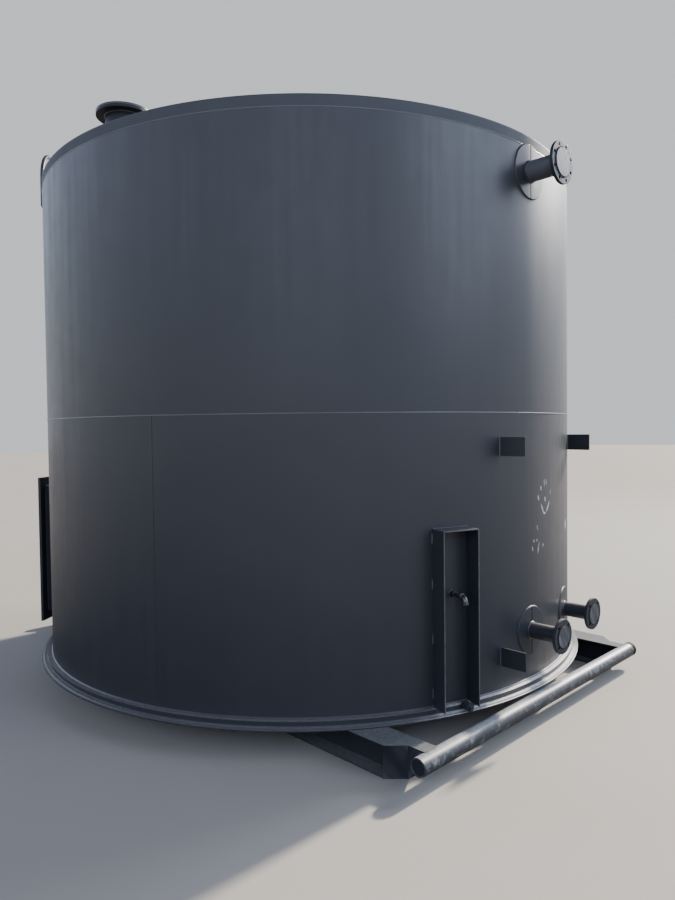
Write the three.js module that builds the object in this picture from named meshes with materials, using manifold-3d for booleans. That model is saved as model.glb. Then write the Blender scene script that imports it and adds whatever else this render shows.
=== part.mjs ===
// Vertical storage tank on a drag skid: a shop-welded steel tank, 12 ft across and 10 ft
// high, with a double bottom, flanged nozzles, a bolted cleanout and a low cone roof.
//
// Millimetres, +Z up. The origin is on the tank's axis at ground level, and +X runs along
// the skid runners towards the end with the outlet nozzles. Azimuths are degrees from +X.

import * as THREE from 'three';
import { mergeVertices } from 'three/addons/utils/BufferGeometryUtils.js';
import Module from 'manifold-3d';

const wasm = await Module();
wasm.setup();

// Driving dimensions
const SHELL_RADIUS = 1829;
const SHELL_WALL = 6.35;
const LOWER_COURSE = 1507;
const SHELL_HEIGHT = 3037;
const ROOF_PLATE = 4.76;
const ROOF_RISE = 152;
const FACET = 3;
const GAP = 0.3;

// How far a joined piece runs into its neighbour, and how far a cutting tool runs past a wall
const SINK = 0.5;
const PAST = 100;

// Sides of the rounds
const PIPE_SIDES = 24;
const ROUND_SIDES = 40;
const BOLT_HOLE_SIDES = 12;
const FITTING_SIDES = 20;

// Skid
const BEAM = { depth: 157, width: 165, flange: 9.3, web: 6.6 };
const RUNNER_OFFSET = 1072.5;
const RUNNER_COPE_START = 1731;
const CROSSBAR_X = 1920;
const CROSSBAR = { half: 1141, radius: 44.45, wall: 5.49, capInset: 2 };
const CROSSBAR_SIDES = 32;
const NOSE_OVERLAP = 8;
const CROSS_MEMBER_X = [-1270, 0, 1270];

// Double bottom, from the skid upwards
const DECK_RADIUS = 1895;
const LOWER_BOTTOM_RADIUS = 1881;
const LEAK_LAYER_RADIUS = 1860;
const UPPER_BOTTOM_RADIUS = 1862;
const BOTTOM_PLATE = 6.35;
const LEAK_LAYER = 19.05;

// Heights that follow from the skid and the bottom
const DECK_Z = BEAM.depth;
const LOWER_BOTTOM_Z = DECK_Z + BOTTOM_PLATE;
const LEAK_LAYER_Z = LOWER_BOTTOM_Z + BOTTOM_PLATE;
const UPPER_BOTTOM_Z = LEAK_LAYER_Z + LEAK_LAYER;
const FLOOR_Z = UPPER_BOTTOM_Z + BOTTOM_PLATE;
const SEAM_Z = FLOOR_Z + LOWER_COURSE;
const RIM_Z = FLOOR_Z + SHELL_HEIGHT;
const CROSSBAR_Z = DECK_Z - CROSSBAR.radius;

// Vertical seams of the shell plates
const LOWER_SEAM = -69;
const UPPER_SEAM = 60;

// Rim band: a thicker strip on top of the upper course, flush with it outside
const BAND_HEIGHT = 55;
const BAND_THICK = 9.5;

// Nozzles: pipe size, flange and reinforcing pad
const THREE_INCH = {
  pipe: 44.45, wall: 5.49, flange: 95.25, face: 63.5, hub: 54, hubLength: 30,
  boltCircle: 76.2, bolts: 4, pad: 133,
};
const FOUR_INCH = {
  pipe: 57.15, wall: 6.02, flange: 114.3, face: 78.6, hub: 67.5, hubLength: 33,
  boltCircle: 95.25, bolts: 8, pad: 147,
};
const FLANGE_THICK = 17.4;
const RAISED_FACE = 1.6;
const BOLT_HOLE = 9.5;
const NOZZLE_REACH = 200;
const BLANK_THICK = 3;
const PAD_THICK = 6.35;
const PAD_SPAN = 9;
const NECK_INSIDE = 12;
const NOZZLES = [
  { name: 'inlet', size: FOUR_INCH, side: 0, height: RIM_Z - 190 },
  { name: 'outlet', size: THREE_INCH, side: 0, height: FLOOR_Z + 275 },
  { name: 'drain', size: THREE_INCH, side: 545, height: FLOOR_Z + 279 },
];

// Cleanout
const CLEANOUT = {
  azimuth: -142.5, width: 610, height: 914, sill: 104, neck: 9.5, border: 76, plate: 9.5,
  reach: 160, inside: 60,
};

// Roof hatch
const HATCH = {
  azimuth: -85.5, radius: 1538, neck: 109.5, wall: 6.35, lid: 160, flange: 12.7, lidThick: 13,
  top: RIM_Z + 218, below: 10,
};

// Gauge guard box and the cock inside it
const GUARD = { azimuth: -19.7, width: 215, depth: 101.6, height: 914, plate: 6.35 };
const COCK = {
  azimuth: -19.5, height: FLOOR_Z + 575, coupling: 16, couplingLength: 32, pipe: 10.7, elbow: 15,
  reach: 118, drop: 34, wall: 4,
};

// Plate clips, leak port and grab hoop
const CLIP = { reach: 152.4, height: 102, thick: 9.5 };
const CLIPS = [
  { name: 'lower_left', side: -279.4, height: FLOOR_Z + 184 },
  { name: 'upper_left', side: -279.4, height: FLOOR_Z + 1324 },
  { name: 'upper_right', side: 815.5, height: FLOOR_Z + 1324 },
];
const LEAK_PORT = { azimuth: -17.9, radius: 22, length: 52, plug: 12, plugHalf: 10 };
const HOOP = {
  azimuth: -127.8, bar: 12.7, radius: 210, standoff: 10, centre: RIM_Z + 128, foot: RIM_Z - 86,
};
const HOOP_SIDES = 10;
const HOOP_STEPS = 36;

// Materials
const CHARCOAL = 0x3a3e45;
const GALVANISED = 0x9a9c9b;

function paint() {
  return new THREE.MeshStandardMaterial({ color: CHARCOAL, roughness: 0.5, metalness: 0.1 });
}

function galvanised() {
  return new THREE.MeshStandardMaterial({ color: GALVANISED, roughness: 0.45, metalness: 0.8 });
}

// Booleans on closed geometry
function toSolid(geometry) {
  const bare = geometry.clone();
  bare.deleteAttribute('normal');
  bare.deleteAttribute('uv');
  const merged = mergeVertices(bare, 1e-4);
  const mesh = new wasm.Mesh({
    numProp: 3,
    vertProperties: new Float32Array(merged.attributes.position.array),
    triVerts: new Uint32Array(merged.index.array),
  });
  return new wasm.Manifold(mesh);
}

function fromSolid(solid) {
  const mesh = solid.getMesh();
  const geometry = new THREE.BufferGeometry();
  geometry.setAttribute('position', new THREE.BufferAttribute(mesh.vertProperties, 3));
  geometry.setIndex(new THREE.BufferAttribute(mesh.triVerts, 1));
  geometry.computeVertexNormals();
  return geometry;
}

function join(...geometries) {
  return fromSolid(geometries.map(toSolid).reduce((sum, next) => sum.add(next)));
}

function cut(geometry, ...tools) {
  return fromSolid(tools.map(toSolid).reduce((rest, tool) => rest.subtract(tool), toSolid(geometry)));
}

function common(first, second) {
  return fromSolid(toSolid(first).intersect(toSolid(second)));
}

// Basic shapes
function box(x0, x1, y0, y1, z0, z1) {
  const geometry = new THREE.BoxGeometry(x1 - x0, y1 - y0, z1 - z0);
  return geometry.translate((x0 + x1) / 2, (y0 + y1) / 2, (z0 + z1) / 2);
}

// A flat outline of [x, y] points, raised from z0 to z1
function slab(points, z0, z1) {
  const shape = new THREE.Shape(points.map(([x, y]) => new THREE.Vector2(x, y)));
  const geometry = new THREE.ExtrudeGeometry(shape, { depth: z1 - z0, bevelEnabled: false });
  return geometry.translate(0, 0, z0);
}

// Points on a circle at whole facet steps, so that nested rings keep their faces parallel
function arc(radius, from, to) {
  const steps = Math.round((to - from) / FACET);
  return Array.from({ length: steps + 1 }, (_, i) => {
    const angle = THREE.MathUtils.degToRad(from + i * FACET);
    return [radius * Math.cos(angle), radius * Math.sin(angle)];
  });
}

function disc(radius, z0, z1) {
  return slab(arc(radius, 0, 360 - FACET), z0, z1);
}

function ringSector(inner, outer, z0, z1, from, to) {
  return slab([...arc(outer, from, to), ...arc(inner, from, to).reverse()], z0, z1);
}

function ring(inner, outer, z0, z1) {
  return cut(disc(outer, z0, z1), disc(inner, z0 - 1, z1 + 1));
}

// A round bar along +X between two stations
function barX(radius, x0, x1, sides = PIPE_SIDES) {
  const geometry = new THREE.CylinderGeometry(radius, radius, x1 - x0, sides);
  return geometry.rotateZ(-Math.PI / 2).translate((x0 + x1) / 2, 0, 0);
}

function barZ(radius, z0, z1, sides = PIPE_SIDES) {
  const geometry = new THREE.CylinderGeometry(radius, radius, z1 - z0, sides);
  return geometry.rotateX(Math.PI / 2).translate(0, 0, (z0 + z1) / 2);
}

function barY(radius, y0, y1, sides = CROSSBAR_SIDES) {
  return new THREE.CylinderGeometry(radius, radius, y1 - y0, sides).translate(0, (y0 + y1) / 2, 0);
}

// The space inside the shell's outer face, seen from a station turned to this azimuth
function shellCore(azimuth, height) {
  const core = disc(SHELL_RADIUS + GAP, -height - PAST, RIM_Z - height + PAST);
  return core.rotateZ(THREE.MathUtils.degToRad(-azimuth));
}

const tank = new THREE.Group();

function add(parent, name, geometry, material = paint()) {
  const mesh = new THREE.Mesh(geometry, material);
  mesh.name = name;
  parent.add(mesh);
  return mesh;
}

// A station on the shell: its own +X points straight out of the tank
function station(azimuth, height) {
  const group = new THREE.Group();
  group.rotation.z = THREE.MathUtils.degToRad(azimuth);
  group.position.z = height;
  tank.add(group);
  return group;
}

// A tool made for a station, turned into the tank's frame
function atStation(geometry, azimuth, height) {
  return geometry.rotateZ(THREE.MathUtils.degToRad(azimuth)).translate(0, 0, height);
}

// What stands on the shell at this distance to the side, parallel to the runners, meets it here
function rootX(side, radius = SHELL_RADIUS) {
  return Math.sqrt(radius ** 2 - side ** 2);
}

// Holes through the shell
function nozzleHole({ size, side, height }) {
  const root = rootX(side);
  return barX(size.pipe + GAP, root - PAST, root + PAST).translate(0, side, height);
}

function cleanoutHole() {
  const half = CLEANOUT.width / 2 + CLEANOUT.neck + GAP;
  const rise = CLEANOUT.height / 2 + CLEANOUT.neck + GAP;
  const tool = box(SHELL_RADIUS - 2 * PAST, SHELL_RADIUS + PAST, -half, half, -rise, rise);
  return atStation(tool, CLEANOUT.azimuth, cleanoutCentre());
}

function cleanoutCentre() {
  return FLOOR_Z + CLEANOUT.sill + CLEANOUT.height / 2;
}

// Shell: two courses of two rolled plates each
function shellPlate(z0, z1, seam) {
  return ringSector(SHELL_RADIUS - SHELL_WALL, SHELL_RADIUS, z0, z1, seam, seam + 180);
}

function addShell() {
  const bandZ = RIM_Z - BAND_HEIGHT;
  const low = NOZZLES.filter((nozzle) => nozzle.height < SEAM_Z).map(nozzleHole);
  const high = NOZZLES.filter((nozzle) => nozzle.height > SEAM_Z).map(nozzleHole);
  const lowerBack = cut(shellPlate(FLOOR_Z, SEAM_Z, LOWER_SEAM + 180), cleanoutHole());
  add(tank, 'lower_shell_front', cut(shellPlate(FLOOR_Z, SEAM_Z, LOWER_SEAM), ...low));
  add(tank, 'lower_shell_back', lowerBack);
  add(tank, 'upper_shell_front', cut(shellPlate(SEAM_Z, bandZ, UPPER_SEAM - 180), ...high));
  add(tank, 'upper_shell_back', shellPlate(SEAM_Z, bandZ, UPPER_SEAM));
  add(tank, 'rim_band', ring(SHELL_RADIUS - BAND_THICK, SHELL_RADIUS, bandZ, RIM_Z));
}

// Roof: a low cone of thin plate that laps the top of the shell
function addRoof() {
  const profile = [
    new THREE.Vector2(0, ROOF_RISE),
    new THREE.Vector2(SHELL_RADIUS, 0),
    new THREE.Vector2(SHELL_RADIUS, ROOF_PLATE),
    new THREE.Vector2(0, ROOF_RISE + ROOF_PLATE),
  ];
  const cone = new THREE.LatheGeometry(profile, 360 / FACET).rotateX(Math.PI / 2).translate(0, 0, RIM_Z);
  const bore = barZ(HATCH.neck + GAP, RIM_Z - PAST, HATCH.top).translate(HATCH.radius, 0, 0);
  add(tank, 'roof_deck', cut(cone, atStation(bore, HATCH.azimuth, 0)));
}

function addHatch() {
  const group = station(HATCH.azimuth, 0);
  const lidZ = HATCH.top - HATCH.lidThick;
  const flangeZ = lidZ - GAP - HATCH.flange;
  const body = join(
    barZ(HATCH.neck, RIM_Z - HATCH.below, lidZ - GAP),
    barZ(HATCH.lid, flangeZ, lidZ - GAP, ROUND_SIDES),
  );
  const bore = barZ(HATCH.neck - HATCH.wall, RIM_Z - PAST, HATCH.top);
  add(group, 'hatch_neck', cut(body, bore)).position.x = HATCH.radius;
  add(group, 'hatch_lid', barZ(HATCH.lid, lidZ, HATCH.top, ROUND_SIDES)).position.x = HATCH.radius;
}

// Bottom: two floors with the leak-detection layer between them, on a wider deck plate
function addBottom() {
  add(tank, 'deck_plate', disc(DECK_RADIUS, DECK_Z, LOWER_BOTTOM_Z));
  add(tank, 'lower_bottom', disc(LOWER_BOTTOM_RADIUS, LOWER_BOTTOM_Z, LEAK_LAYER_Z));
  add(tank, 'leak_layer', disc(LEAK_LAYER_RADIUS, LEAK_LAYER_Z, UPPER_BOTTOM_Z));
  add(tank, 'upper_bottom', disc(UPPER_BOTTOM_RADIUS, UPPER_BOTTOM_Z, FLOOR_Z));
}

// Skid runners: wide-flange beams whose outer flange halves are cut away at 45 degrees
// near both ends, with a plate closing each cut
function flangeOutline(end) {
  const outer = BEAM.width / 2;
  const web = BEAM.web / 2;
  const copeEnd = RUNNER_COPE_START + outer - web;
  return [
    [-end, -outer], [end, -outer], [end, web], [copeEnd, web], [RUNNER_COPE_START, outer],
    [-RUNNER_COPE_START, outer], [-copeEnd, web], [-end, web],
  ];
}

function copePlate() {
  const outer = BEAM.width / 2;
  const web = BEAM.web / 2;
  const run = outer - web;
  const outline = [
    [RUNNER_COPE_START - BOTTOM_PLATE, outer], [RUNNER_COPE_START, outer],
    [RUNNER_COPE_START + run, web], [RUNNER_COPE_START + run - BOTTOM_PLATE, web],
  ];
  return slab(outline, SINK, BEAM.depth - SINK);
}

function runner() {
  const noseX = CROSSBAR_X - CROSSBAR.radius + NOSE_OVERLAP;
  const toeX = RUNNER_COPE_START + BEAM.width / 2;
  const noseZ = CROSSBAR_Z - CROSSBAR.radius;
  const webOutline = [
    [-toeX, SINK], [toeX, SINK], [noseX, noseZ], [CROSSBAR_X, noseZ],
    [CROSSBAR_X, BEAM.depth - SINK], [-CROSSBAR_X, BEAM.depth - SINK],
    [-CROSSBAR_X, noseZ], [-noseX, noseZ],
  ];
  const web = slab(webOutline, -BEAM.web / 2, BEAM.web / 2).rotateX(Math.PI / 2);
  const body = join(
    web,
    slab(flangeOutline(toeX), 0, BEAM.flange),
    slab(flangeOutline(CROSSBAR_X), BEAM.depth - BEAM.flange, BEAM.depth),
    copePlate(),
    copePlate().rotateY(Math.PI).translate(0, 0, BEAM.depth),
  );
  const saddles = [-1, 1].map((side) => {
    const tool = barY(CROSSBAR.radius + GAP, -BEAM.width, BEAM.width);
    return tool.translate(side * CROSSBAR_X, 0, CROSSBAR_Z);
  });
  return cut(body, ...saddles);
}

function crossMember() {
  const tips = RUNNER_OFFSET - BEAM.width / 2 - GAP;
  const reach = RUNNER_OFFSET - BEAM.web / 2 - GAP;
  const half = BEAM.width / 2;
  const clear = BEAM.flange + 2;
  return join(
    box(-half, half, -tips, tips, 0, BEAM.flange),
    box(-half, half, -tips, tips, BEAM.depth - BEAM.flange, BEAM.depth),
    box(-BEAM.web / 2, BEAM.web / 2, -tips, tips, SINK, BEAM.depth - SINK),
    box(-BEAM.web / 2, BEAM.web / 2, -reach, reach, clear, BEAM.depth - clear),
  );
}

function addSkid() {
  add(tank, 'runner_right', runner()).position.y = RUNNER_OFFSET;
  const left = add(tank, 'runner_left', runner());
  left.position.y = -RUNNER_OFFSET;
  left.rotation.z = Math.PI;
  ['rear', 'middle', 'front'].forEach((place, i) => {
    add(tank, `cross_member_${place}`, crossMember()).position.x = CROSS_MEMBER_X[i];
  });
  addCrossbar('rear', -CROSSBAR_X);
  addCrossbar('front', CROSSBAR_X);
}

// Crossbars: pipe across the runner ends, closed with a plate let into each end
function addCrossbar(place, x) {
  const { half } = CROSSBAR;
  const bore = CROSSBAR.radius - CROSSBAR.wall;
  const pipe = cut(barY(CROSSBAR.radius, -half, half), barY(bore, -half - 1, half + 1));
  add(tank, `crossbar_${place}`, pipe).position.set(x, 0, CROSSBAR_Z);
  [['left', -half], ['right', half]].forEach(([side, y]) => {
    const cap = barY(bore - GAP, -BOTTOM_PLATE / 2, BOTTOM_PLATE / 2);
    const inset = Math.sign(y) * (BOTTOM_PLATE / 2 + CROSSBAR.capInset);
    add(tank, `crossbar_cap_${place}_${side}`, cap).position.set(x, y - inset, CROSSBAR_Z);
  });
}

// Nozzles: reinforcing pad, pipe neck, slip-on flange and a thin blank over its face. They all
// point along the runners, so a pad off to the side is bored at a slant.
function padPlate(nozzle) {
  const { size, side, height } = nozzle;
  const bearing = THREE.MathUtils.radToDeg(Math.asin(side / SHELL_RADIUS));
  const middle = Math.round(bearing / FACET) * FACET;
  const inner = SHELL_RADIUS + GAP;
  const rolled = ringSector(
    inner, inner + PAD_THICK, height - size.pad, height + size.pad, middle - PAD_SPAN, middle + PAD_SPAN,
  );
  const round = barX(size.pad, SHELL_RADIUS - PAST, SHELL_RADIUS + PAST, ROUND_SIDES);
  return cut(common(rolled, atStation(round, bearing, height)), nozzleHole(nozzle));
}

function flangeBody(size) {
  const back = NOZZLE_REACH - RAISED_FACE - FLANGE_THICK;
  const holes = Array.from({ length: size.bolts }, (_, i) => {
    const angle = ((i + 0.5) * 2 * Math.PI) / size.bolts;
    const hole = barX(BOLT_HOLE, back - PAST, NOZZLE_REACH + PAST, BOLT_HOLE_SIDES);
    return hole.translate(0, size.boltCircle * Math.cos(angle), size.boltCircle * Math.sin(angle));
  });
  const body = join(
    barX(size.flange, back, NOZZLE_REACH - RAISED_FACE, ROUND_SIDES),
    barX(size.face, back + SINK, NOZZLE_REACH, ROUND_SIDES),
    barX(size.hub, NOZZLE_REACH - size.hubLength, back + SINK),
  );
  return cut(body, barX(size.pipe + GAP, back - PAST, NOZZLE_REACH + PAST), ...holes);
}

function neckPipe(size, side) {
  const wallEnd = rootX(Math.abs(side) + size.pipe, SHELL_RADIUS - SHELL_WALL);
  const start = wallEnd - rootX(side) - NECK_INSIDE;
  const end = NOZZLE_REACH - size.wall;
  return cut(barX(size.pipe, start, end), barX(size.pipe - size.wall, start - 1, end + 1));
}

function addNozzle(nozzle) {
  const { name, size, side, height } = nozzle;
  const blankX = NOZZLE_REACH + GAP;
  const group = new THREE.Group();
  group.position.set(rootX(side), side, height);
  tank.add(group);
  add(tank, `${name}_pad`, padPlate(nozzle));
  add(group, `${name}_neck`, neckPipe(size, side));
  add(group, `${name}_flange`, flangeBody(size));
  add(group, `${name}_blank`, barX(size.face - 2, blankX, blankX + BLANK_THICK, ROUND_SIDES));
}

// Cleanout: a rectangular frame let through the shell, with a flange and a bolted cover
function addCleanout() {
  const group = station(CLEANOUT.azimuth, cleanoutCentre());
  const { width, height, neck, border, plate, reach } = CLEANOUT;
  const coverX = SHELL_RADIUS + reach - plate;
  const flangeX = coverX - GAP - plate;
  const backX = SHELL_RADIUS - CLEANOUT.inside;
  const side = width / 2;
  const rise = height / 2;
  const frame = join(
    box(backX, coverX - GAP, -side - neck, side + neck, -rise - neck, rise + neck),
    box(flangeX, coverX - GAP, -side - border, side + border, -rise - border, rise + border),
  );
  const passage = box(backX - 1, coverX + 1, -side, side, -rise, rise);
  add(group, 'cleanout_frame', cut(frame, passage));
  const cover = box(coverX, coverX + plate, -side - border, side + border, -rise - border, rise + border);
  add(group, 'cleanout_cover', cover);
}

// Guard box: two side plates and a top plate, open at the front and the bottom
function addGuard() {
  const group = station(GUARD.azimuth, FLOOR_Z + GAP);
  const { width, depth, height, plate } = GUARD;
  const inside = SHELL_RADIUS - PAST;
  const front = SHELL_RADIUS + depth;
  const core = () => shellCore(GUARD.azimuth, FLOOR_Z + GAP);
  const side = (y0) => cut(box(inside, front, y0, y0 + plate, 0, height - plate - GAP), core());
  add(group, 'guard_side_left', side(-width / 2));
  add(group, 'guard_side_right', side(width / 2 - plate));
  const top = box(inside, front, -width / 2, width / 2, height - plate, height);
  add(group, 'guard_top', cut(top, core()));
}

// Gauge cock: a coupling on the shell, a nipple and an elbow that looks down
function addCock() {
  const group = station(COCK.azimuth, COCK.height);
  const tip = SHELL_RADIUS + COCK.reach;
  const body = join(
    barX(COCK.coupling, SHELL_RADIUS - COCK.wall, SHELL_RADIUS + COCK.couplingLength, FITTING_SIDES),
    barX(COCK.pipe, SHELL_RADIUS, tip, FITTING_SIDES),
    barX(COCK.elbow, tip - COCK.drop + 8, tip - 8, FITTING_SIDES),
    new THREE.SphereGeometry(COCK.elbow, 16, 8).translate(tip, 0, 0),
    barZ(COCK.elbow, -COCK.drop, 0, FITTING_SIDES).translate(tip, 0, 0),
  );
  const mouth = barZ(COCK.elbow - COCK.wall, -COCK.drop - 1, -8, FITTING_SIDES);
  const bore = mouth.translate(tip, 0, 0);
  add(group, 'gauge_cock', cut(body, bore, shellCore(COCK.azimuth, COCK.height)), galvanised());
}

// Clips: upright plates that stand out of the shell parallel to the runners
function addClips() {
  const half = CLIP.thick / 2;
  const rise = CLIP.height / 2;
  CLIPS.forEach(({ name, side, height }) => {
    const root = rootX(side);
    const plate = box(
      root - PAST, root + CLIP.reach, side - half, side + half, height - rise, height + rise,
    );
    add(tank, `clip_${name}`, cut(plate, shellCore(0, 0)));
  });
}

// Leak port: a plugged coupling lying on the lower bottom, against the upper one's edge
function addLeakPort() {
  const group = station(LEAK_PORT.azimuth, LEAK_LAYER_Z + LEAK_PORT.radius + GAP);
  const start = UPPER_BOTTOM_RADIUS + GAP;
  const end = start + LEAK_PORT.length;
  const half = LEAK_PORT.plugHalf;
  const body = join(
    barX(LEAK_PORT.radius, start, end),
    box(end - SINK, end + LEAK_PORT.plug, -half, half, -half, half),
  );
  add(group, 'leak_port', body);
}

// Grab hoop: a bar bent to an upside-down U that stands off the shell, its feet turned in to it
function addHoop() {
  const group = station(HOOP.azimuth, 0);
  const x = rootX(HOOP.radius, SHELL_RADIUS + HOOP.standoff + HOOP.bar);
  const path = new THREE.CurvePath();
  const left = new THREE.Vector3(x, HOOP.radius, HOOP.foot);
  const right = new THREE.Vector3(x, -HOOP.radius, HOOP.foot);
  const leftTop = left.clone().setZ(HOOP.centre);
  const rightTop = right.clone().setZ(HOOP.centre);
  path.add(new THREE.LineCurve3(left, leftTop));
  path.add(new HoopArc(x, HOOP.radius, HOOP.centre));
  path.add(new THREE.LineCurve3(rightTop, right));
  const round = new THREE.EllipseCurve(0, 0, HOOP.bar, HOOP.bar);
  const section = new THREE.Shape(round.getPoints(HOOP_SIDES).slice(0, HOOP_SIDES));
  const sweep = { steps: HOOP_STEPS, extrudePath: path, bevelEnabled: false };
  const bent = new THREE.ExtrudeGeometry(section, sweep);
  const feet = [HOOP.radius, -HOOP.radius].map((y) => {
    const foot = barX(HOOP.bar, SHELL_RADIUS - PAST, x, 12);
    return foot.translate(0, y, HOOP.foot + HOOP.bar);
  });
  add(group, 'grab_hoop', cut(join(bent, ...feet), shellCore(HOOP.azimuth, 0)));
}

class HoopArc extends THREE.Curve {
  constructor(x, radius, centre) {
    super();
    this.x = x;
    this.radius = radius;
    this.centre = centre;
  }

  getPoint(t, target = new THREE.Vector3()) {
    const angle = Math.PI * t;
    const y = this.radius * Math.cos(angle);
    return target.set(this.x, y, this.centre + this.radius * Math.sin(angle));
  }
}

addSkid();
addBottom();
addShell();
addRoof();
addHatch();
NOZZLES.forEach(addNozzle);
addCleanout();
addGuard();
addCock();
addClips();
addLeakPort();
addHoop();

export default tank;
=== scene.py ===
# Vertical storage tank on a drag skid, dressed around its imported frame.
# Metres, +Z up. The tank stands on z = 0 with its axis on the Z axis, and +X runs along the
# skid runners towards the end with the outlet nozzles. Azimuths are degrees from +X.

from functools import partial
from math import asin, cos, hypot, pi, radians, sin, sqrt

import bmesh
import bpy
from mathutils import Matrix, Vector


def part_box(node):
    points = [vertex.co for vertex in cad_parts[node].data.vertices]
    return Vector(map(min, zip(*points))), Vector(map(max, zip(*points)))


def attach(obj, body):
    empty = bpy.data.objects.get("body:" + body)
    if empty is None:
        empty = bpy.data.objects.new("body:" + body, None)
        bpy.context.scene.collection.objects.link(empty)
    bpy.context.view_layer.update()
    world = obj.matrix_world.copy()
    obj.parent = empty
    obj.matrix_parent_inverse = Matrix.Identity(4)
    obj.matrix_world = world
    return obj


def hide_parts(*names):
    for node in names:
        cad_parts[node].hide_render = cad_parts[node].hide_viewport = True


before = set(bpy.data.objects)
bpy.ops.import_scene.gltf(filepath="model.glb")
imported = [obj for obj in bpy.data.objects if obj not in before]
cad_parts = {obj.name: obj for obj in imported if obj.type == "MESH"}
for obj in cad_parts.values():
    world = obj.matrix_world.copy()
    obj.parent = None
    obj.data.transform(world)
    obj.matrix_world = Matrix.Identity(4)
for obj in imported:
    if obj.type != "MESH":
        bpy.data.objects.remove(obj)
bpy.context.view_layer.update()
scene = bpy.context.scene

# The view: a phone held at standing height, 5.2 m from the tank's axis and almost level.
# The studio has a low warm lamp behind the right side, soft panels, a surround that is
# brightest and bluest a hand's width above the horizon, and a floor that looks plain and pale
# to the camera. The light the floor bounces is painted shade, dark close to the tank.
CAMERA_DISTANCE = 5.179
CAMERA_HEIGHT = 1.621
CAMERA_AZIMUTH = -42.46
LENS_MM = 27.47
LOOK_AZIMUTH = 135.37
LOOK_PITCH = -1.72
LOOK_ROLL = -0.66
LAMP_DISTANCE = 12.0
LAMP_AIM = (0, 0, 1.4)
SUN_WIDTH = 3
FLOOR_RADIUS = 60.0
NEAR_GROUND = 3.0
FAR_GROUND = 9.0


def srgb(code):
    """An sRGB hex value as the linear colour that shaders take."""
    parts = [int(code[i:i + 2], 16) / 255 for i in (0, 2, 4)]
    linear = [c / 12.92 if c <= 0.04045 else ((c + 0.055) / 1.055) ** 2.4 for c in parts]
    return (*linear, 1.0)


def add(tree, kind, inputs=None, **settings):
    """One node of a tree with its settings. An input takes a value, a socket, a node, whose
    first output is then linked, or a list of these."""
    made = tree.nodes.new(kind)
    for label, value in settings.items():
        setattr(made, label, value)
    for label, value in (inputs or {}).items():
        for fed in value if isinstance(value, list) else [value]:
            if isinstance(fed, bpy.types.Node):
                fed = next(socket for socket in fed.outputs if socket.enabled)
            if isinstance(fed, bpy.types.NodeSocket):
                tree.links.new(fed, made.inputs[label])
            else:
                made.inputs[label].default_value = fed
    return made


def new_material(name):
    material = bpy.data.materials.new(name)
    material.use_nodes = True
    material.node_tree.nodes.clear()
    return material, material.node_tree


def polar(azimuth, radius, height):
    turn = radians(azimuth)
    return Vector((radius * cos(turn), radius * sin(turn), height))


def lamp(name, kind, azimuth, elevation, strength, tone):
    """A light that shines at the tank from that azimuth and elevation."""
    light = bpy.data.lights.new(name, kind)
    light.energy = strength
    light.color = srgb(tone)[:3]
    holder = bpy.data.objects.new(name, light)
    way = polar(azimuth, cos(radians(elevation)), sin(radians(elevation)))
    holder.location = Vector(LAMP_AIM) + LAMP_DISTANCE * way
    holder.rotation_euler = way.to_track_quat("Z", "Y").to_euler()
    scene.collection.objects.link(holder)
    return light


camera = bpy.data.objects.new("camera", bpy.data.cameras.new("camera"))
camera.data.lens = LENS_MM
camera.data.sensor_width = 36
camera.location = polar(CAMERA_AZIMUTH, CAMERA_DISTANCE, CAMERA_HEIGHT)
aim_turn = Matrix.Rotation(radians(LOOK_AZIMUTH - 90), 4, "Z")
aim_tilt = Matrix.Rotation(radians(90 + LOOK_PITCH), 4, "X")
aim_roll = Matrix.Rotation(radians(LOOK_ROLL), 4, "Z")
camera.rotation_euler = (aim_turn @ aim_tilt @ aim_roll).to_euler()
scene.collection.objects.link(camera)
scene.camera = camera

lamp("sun_side", "SUN", 89, 28.5, 9.6, "FFF3E2").angle = radians(SUN_WIDTH)
for name, azimuth, elevation, watts, size, tone in (
        ("sun_glow", 70, 30, 560, 3.0, "F6F9FF"),
        ("right_sky", 15, 30, 450, 8.0, "DCE9FF"),
        ("front_sky", -42, 25, 95, 8.0, "E4EEFF")):
    panel = lamp(name, "AREA", azimuth, elevation, watts, tone)
    panel.shape = "DISK"
    panel.size = size

SKY_STRENGTH = 2.5
SKY_BANDS = ((0.0, "A8A8AC"), (0.2, "A9B4BD"), (0.42, "D0DCFF"), (0.68, "000000"))
surround = bpy.data.worlds.new("pale surround")
surround.use_nodes = True
sky_tree = surround.node_tree
sky_way = add(sky_tree, "ShaderNodeTexCoord").outputs["Generated"]
sky_rise = add(sky_tree, "ShaderNodeSeparateXYZ", {"Vector": sky_way}).outputs["Z"]
sky_ramp = add(sky_tree, "ShaderNodeValToRGB", {"Fac": sky_rise})
while len(sky_ramp.color_ramp.elements) < len(SKY_BANDS):
    sky_ramp.color_ramp.elements.new(1.0)
for element, (level, tone) in zip(sky_ramp.color_ramp.elements, SKY_BANDS):
    element.position = level
    element.color = srgb(tone)
lit = sky_tree.nodes["Background"]
lit.inputs["Strength"].default_value = SKY_STRENGTH
sky_tree.links.new(sky_ramp.outputs["Color"], lit.inputs["Color"])
backdrop = add(sky_tree, "ShaderNodeBackground", {"Color": srgb("DDE1E6"), "Strength": 1.0})
seen = add(sky_tree, "ShaderNodeLightPath").outputs["Is Camera Ray"]
either = add(sky_tree, "ShaderNodeMixShader", {0: seen, 1: lit, 2: backdrop})
sky_tree.links.new(either.outputs[0], sky_tree.nodes["World Output"].inputs["Surface"])
scene.world = surround

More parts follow.
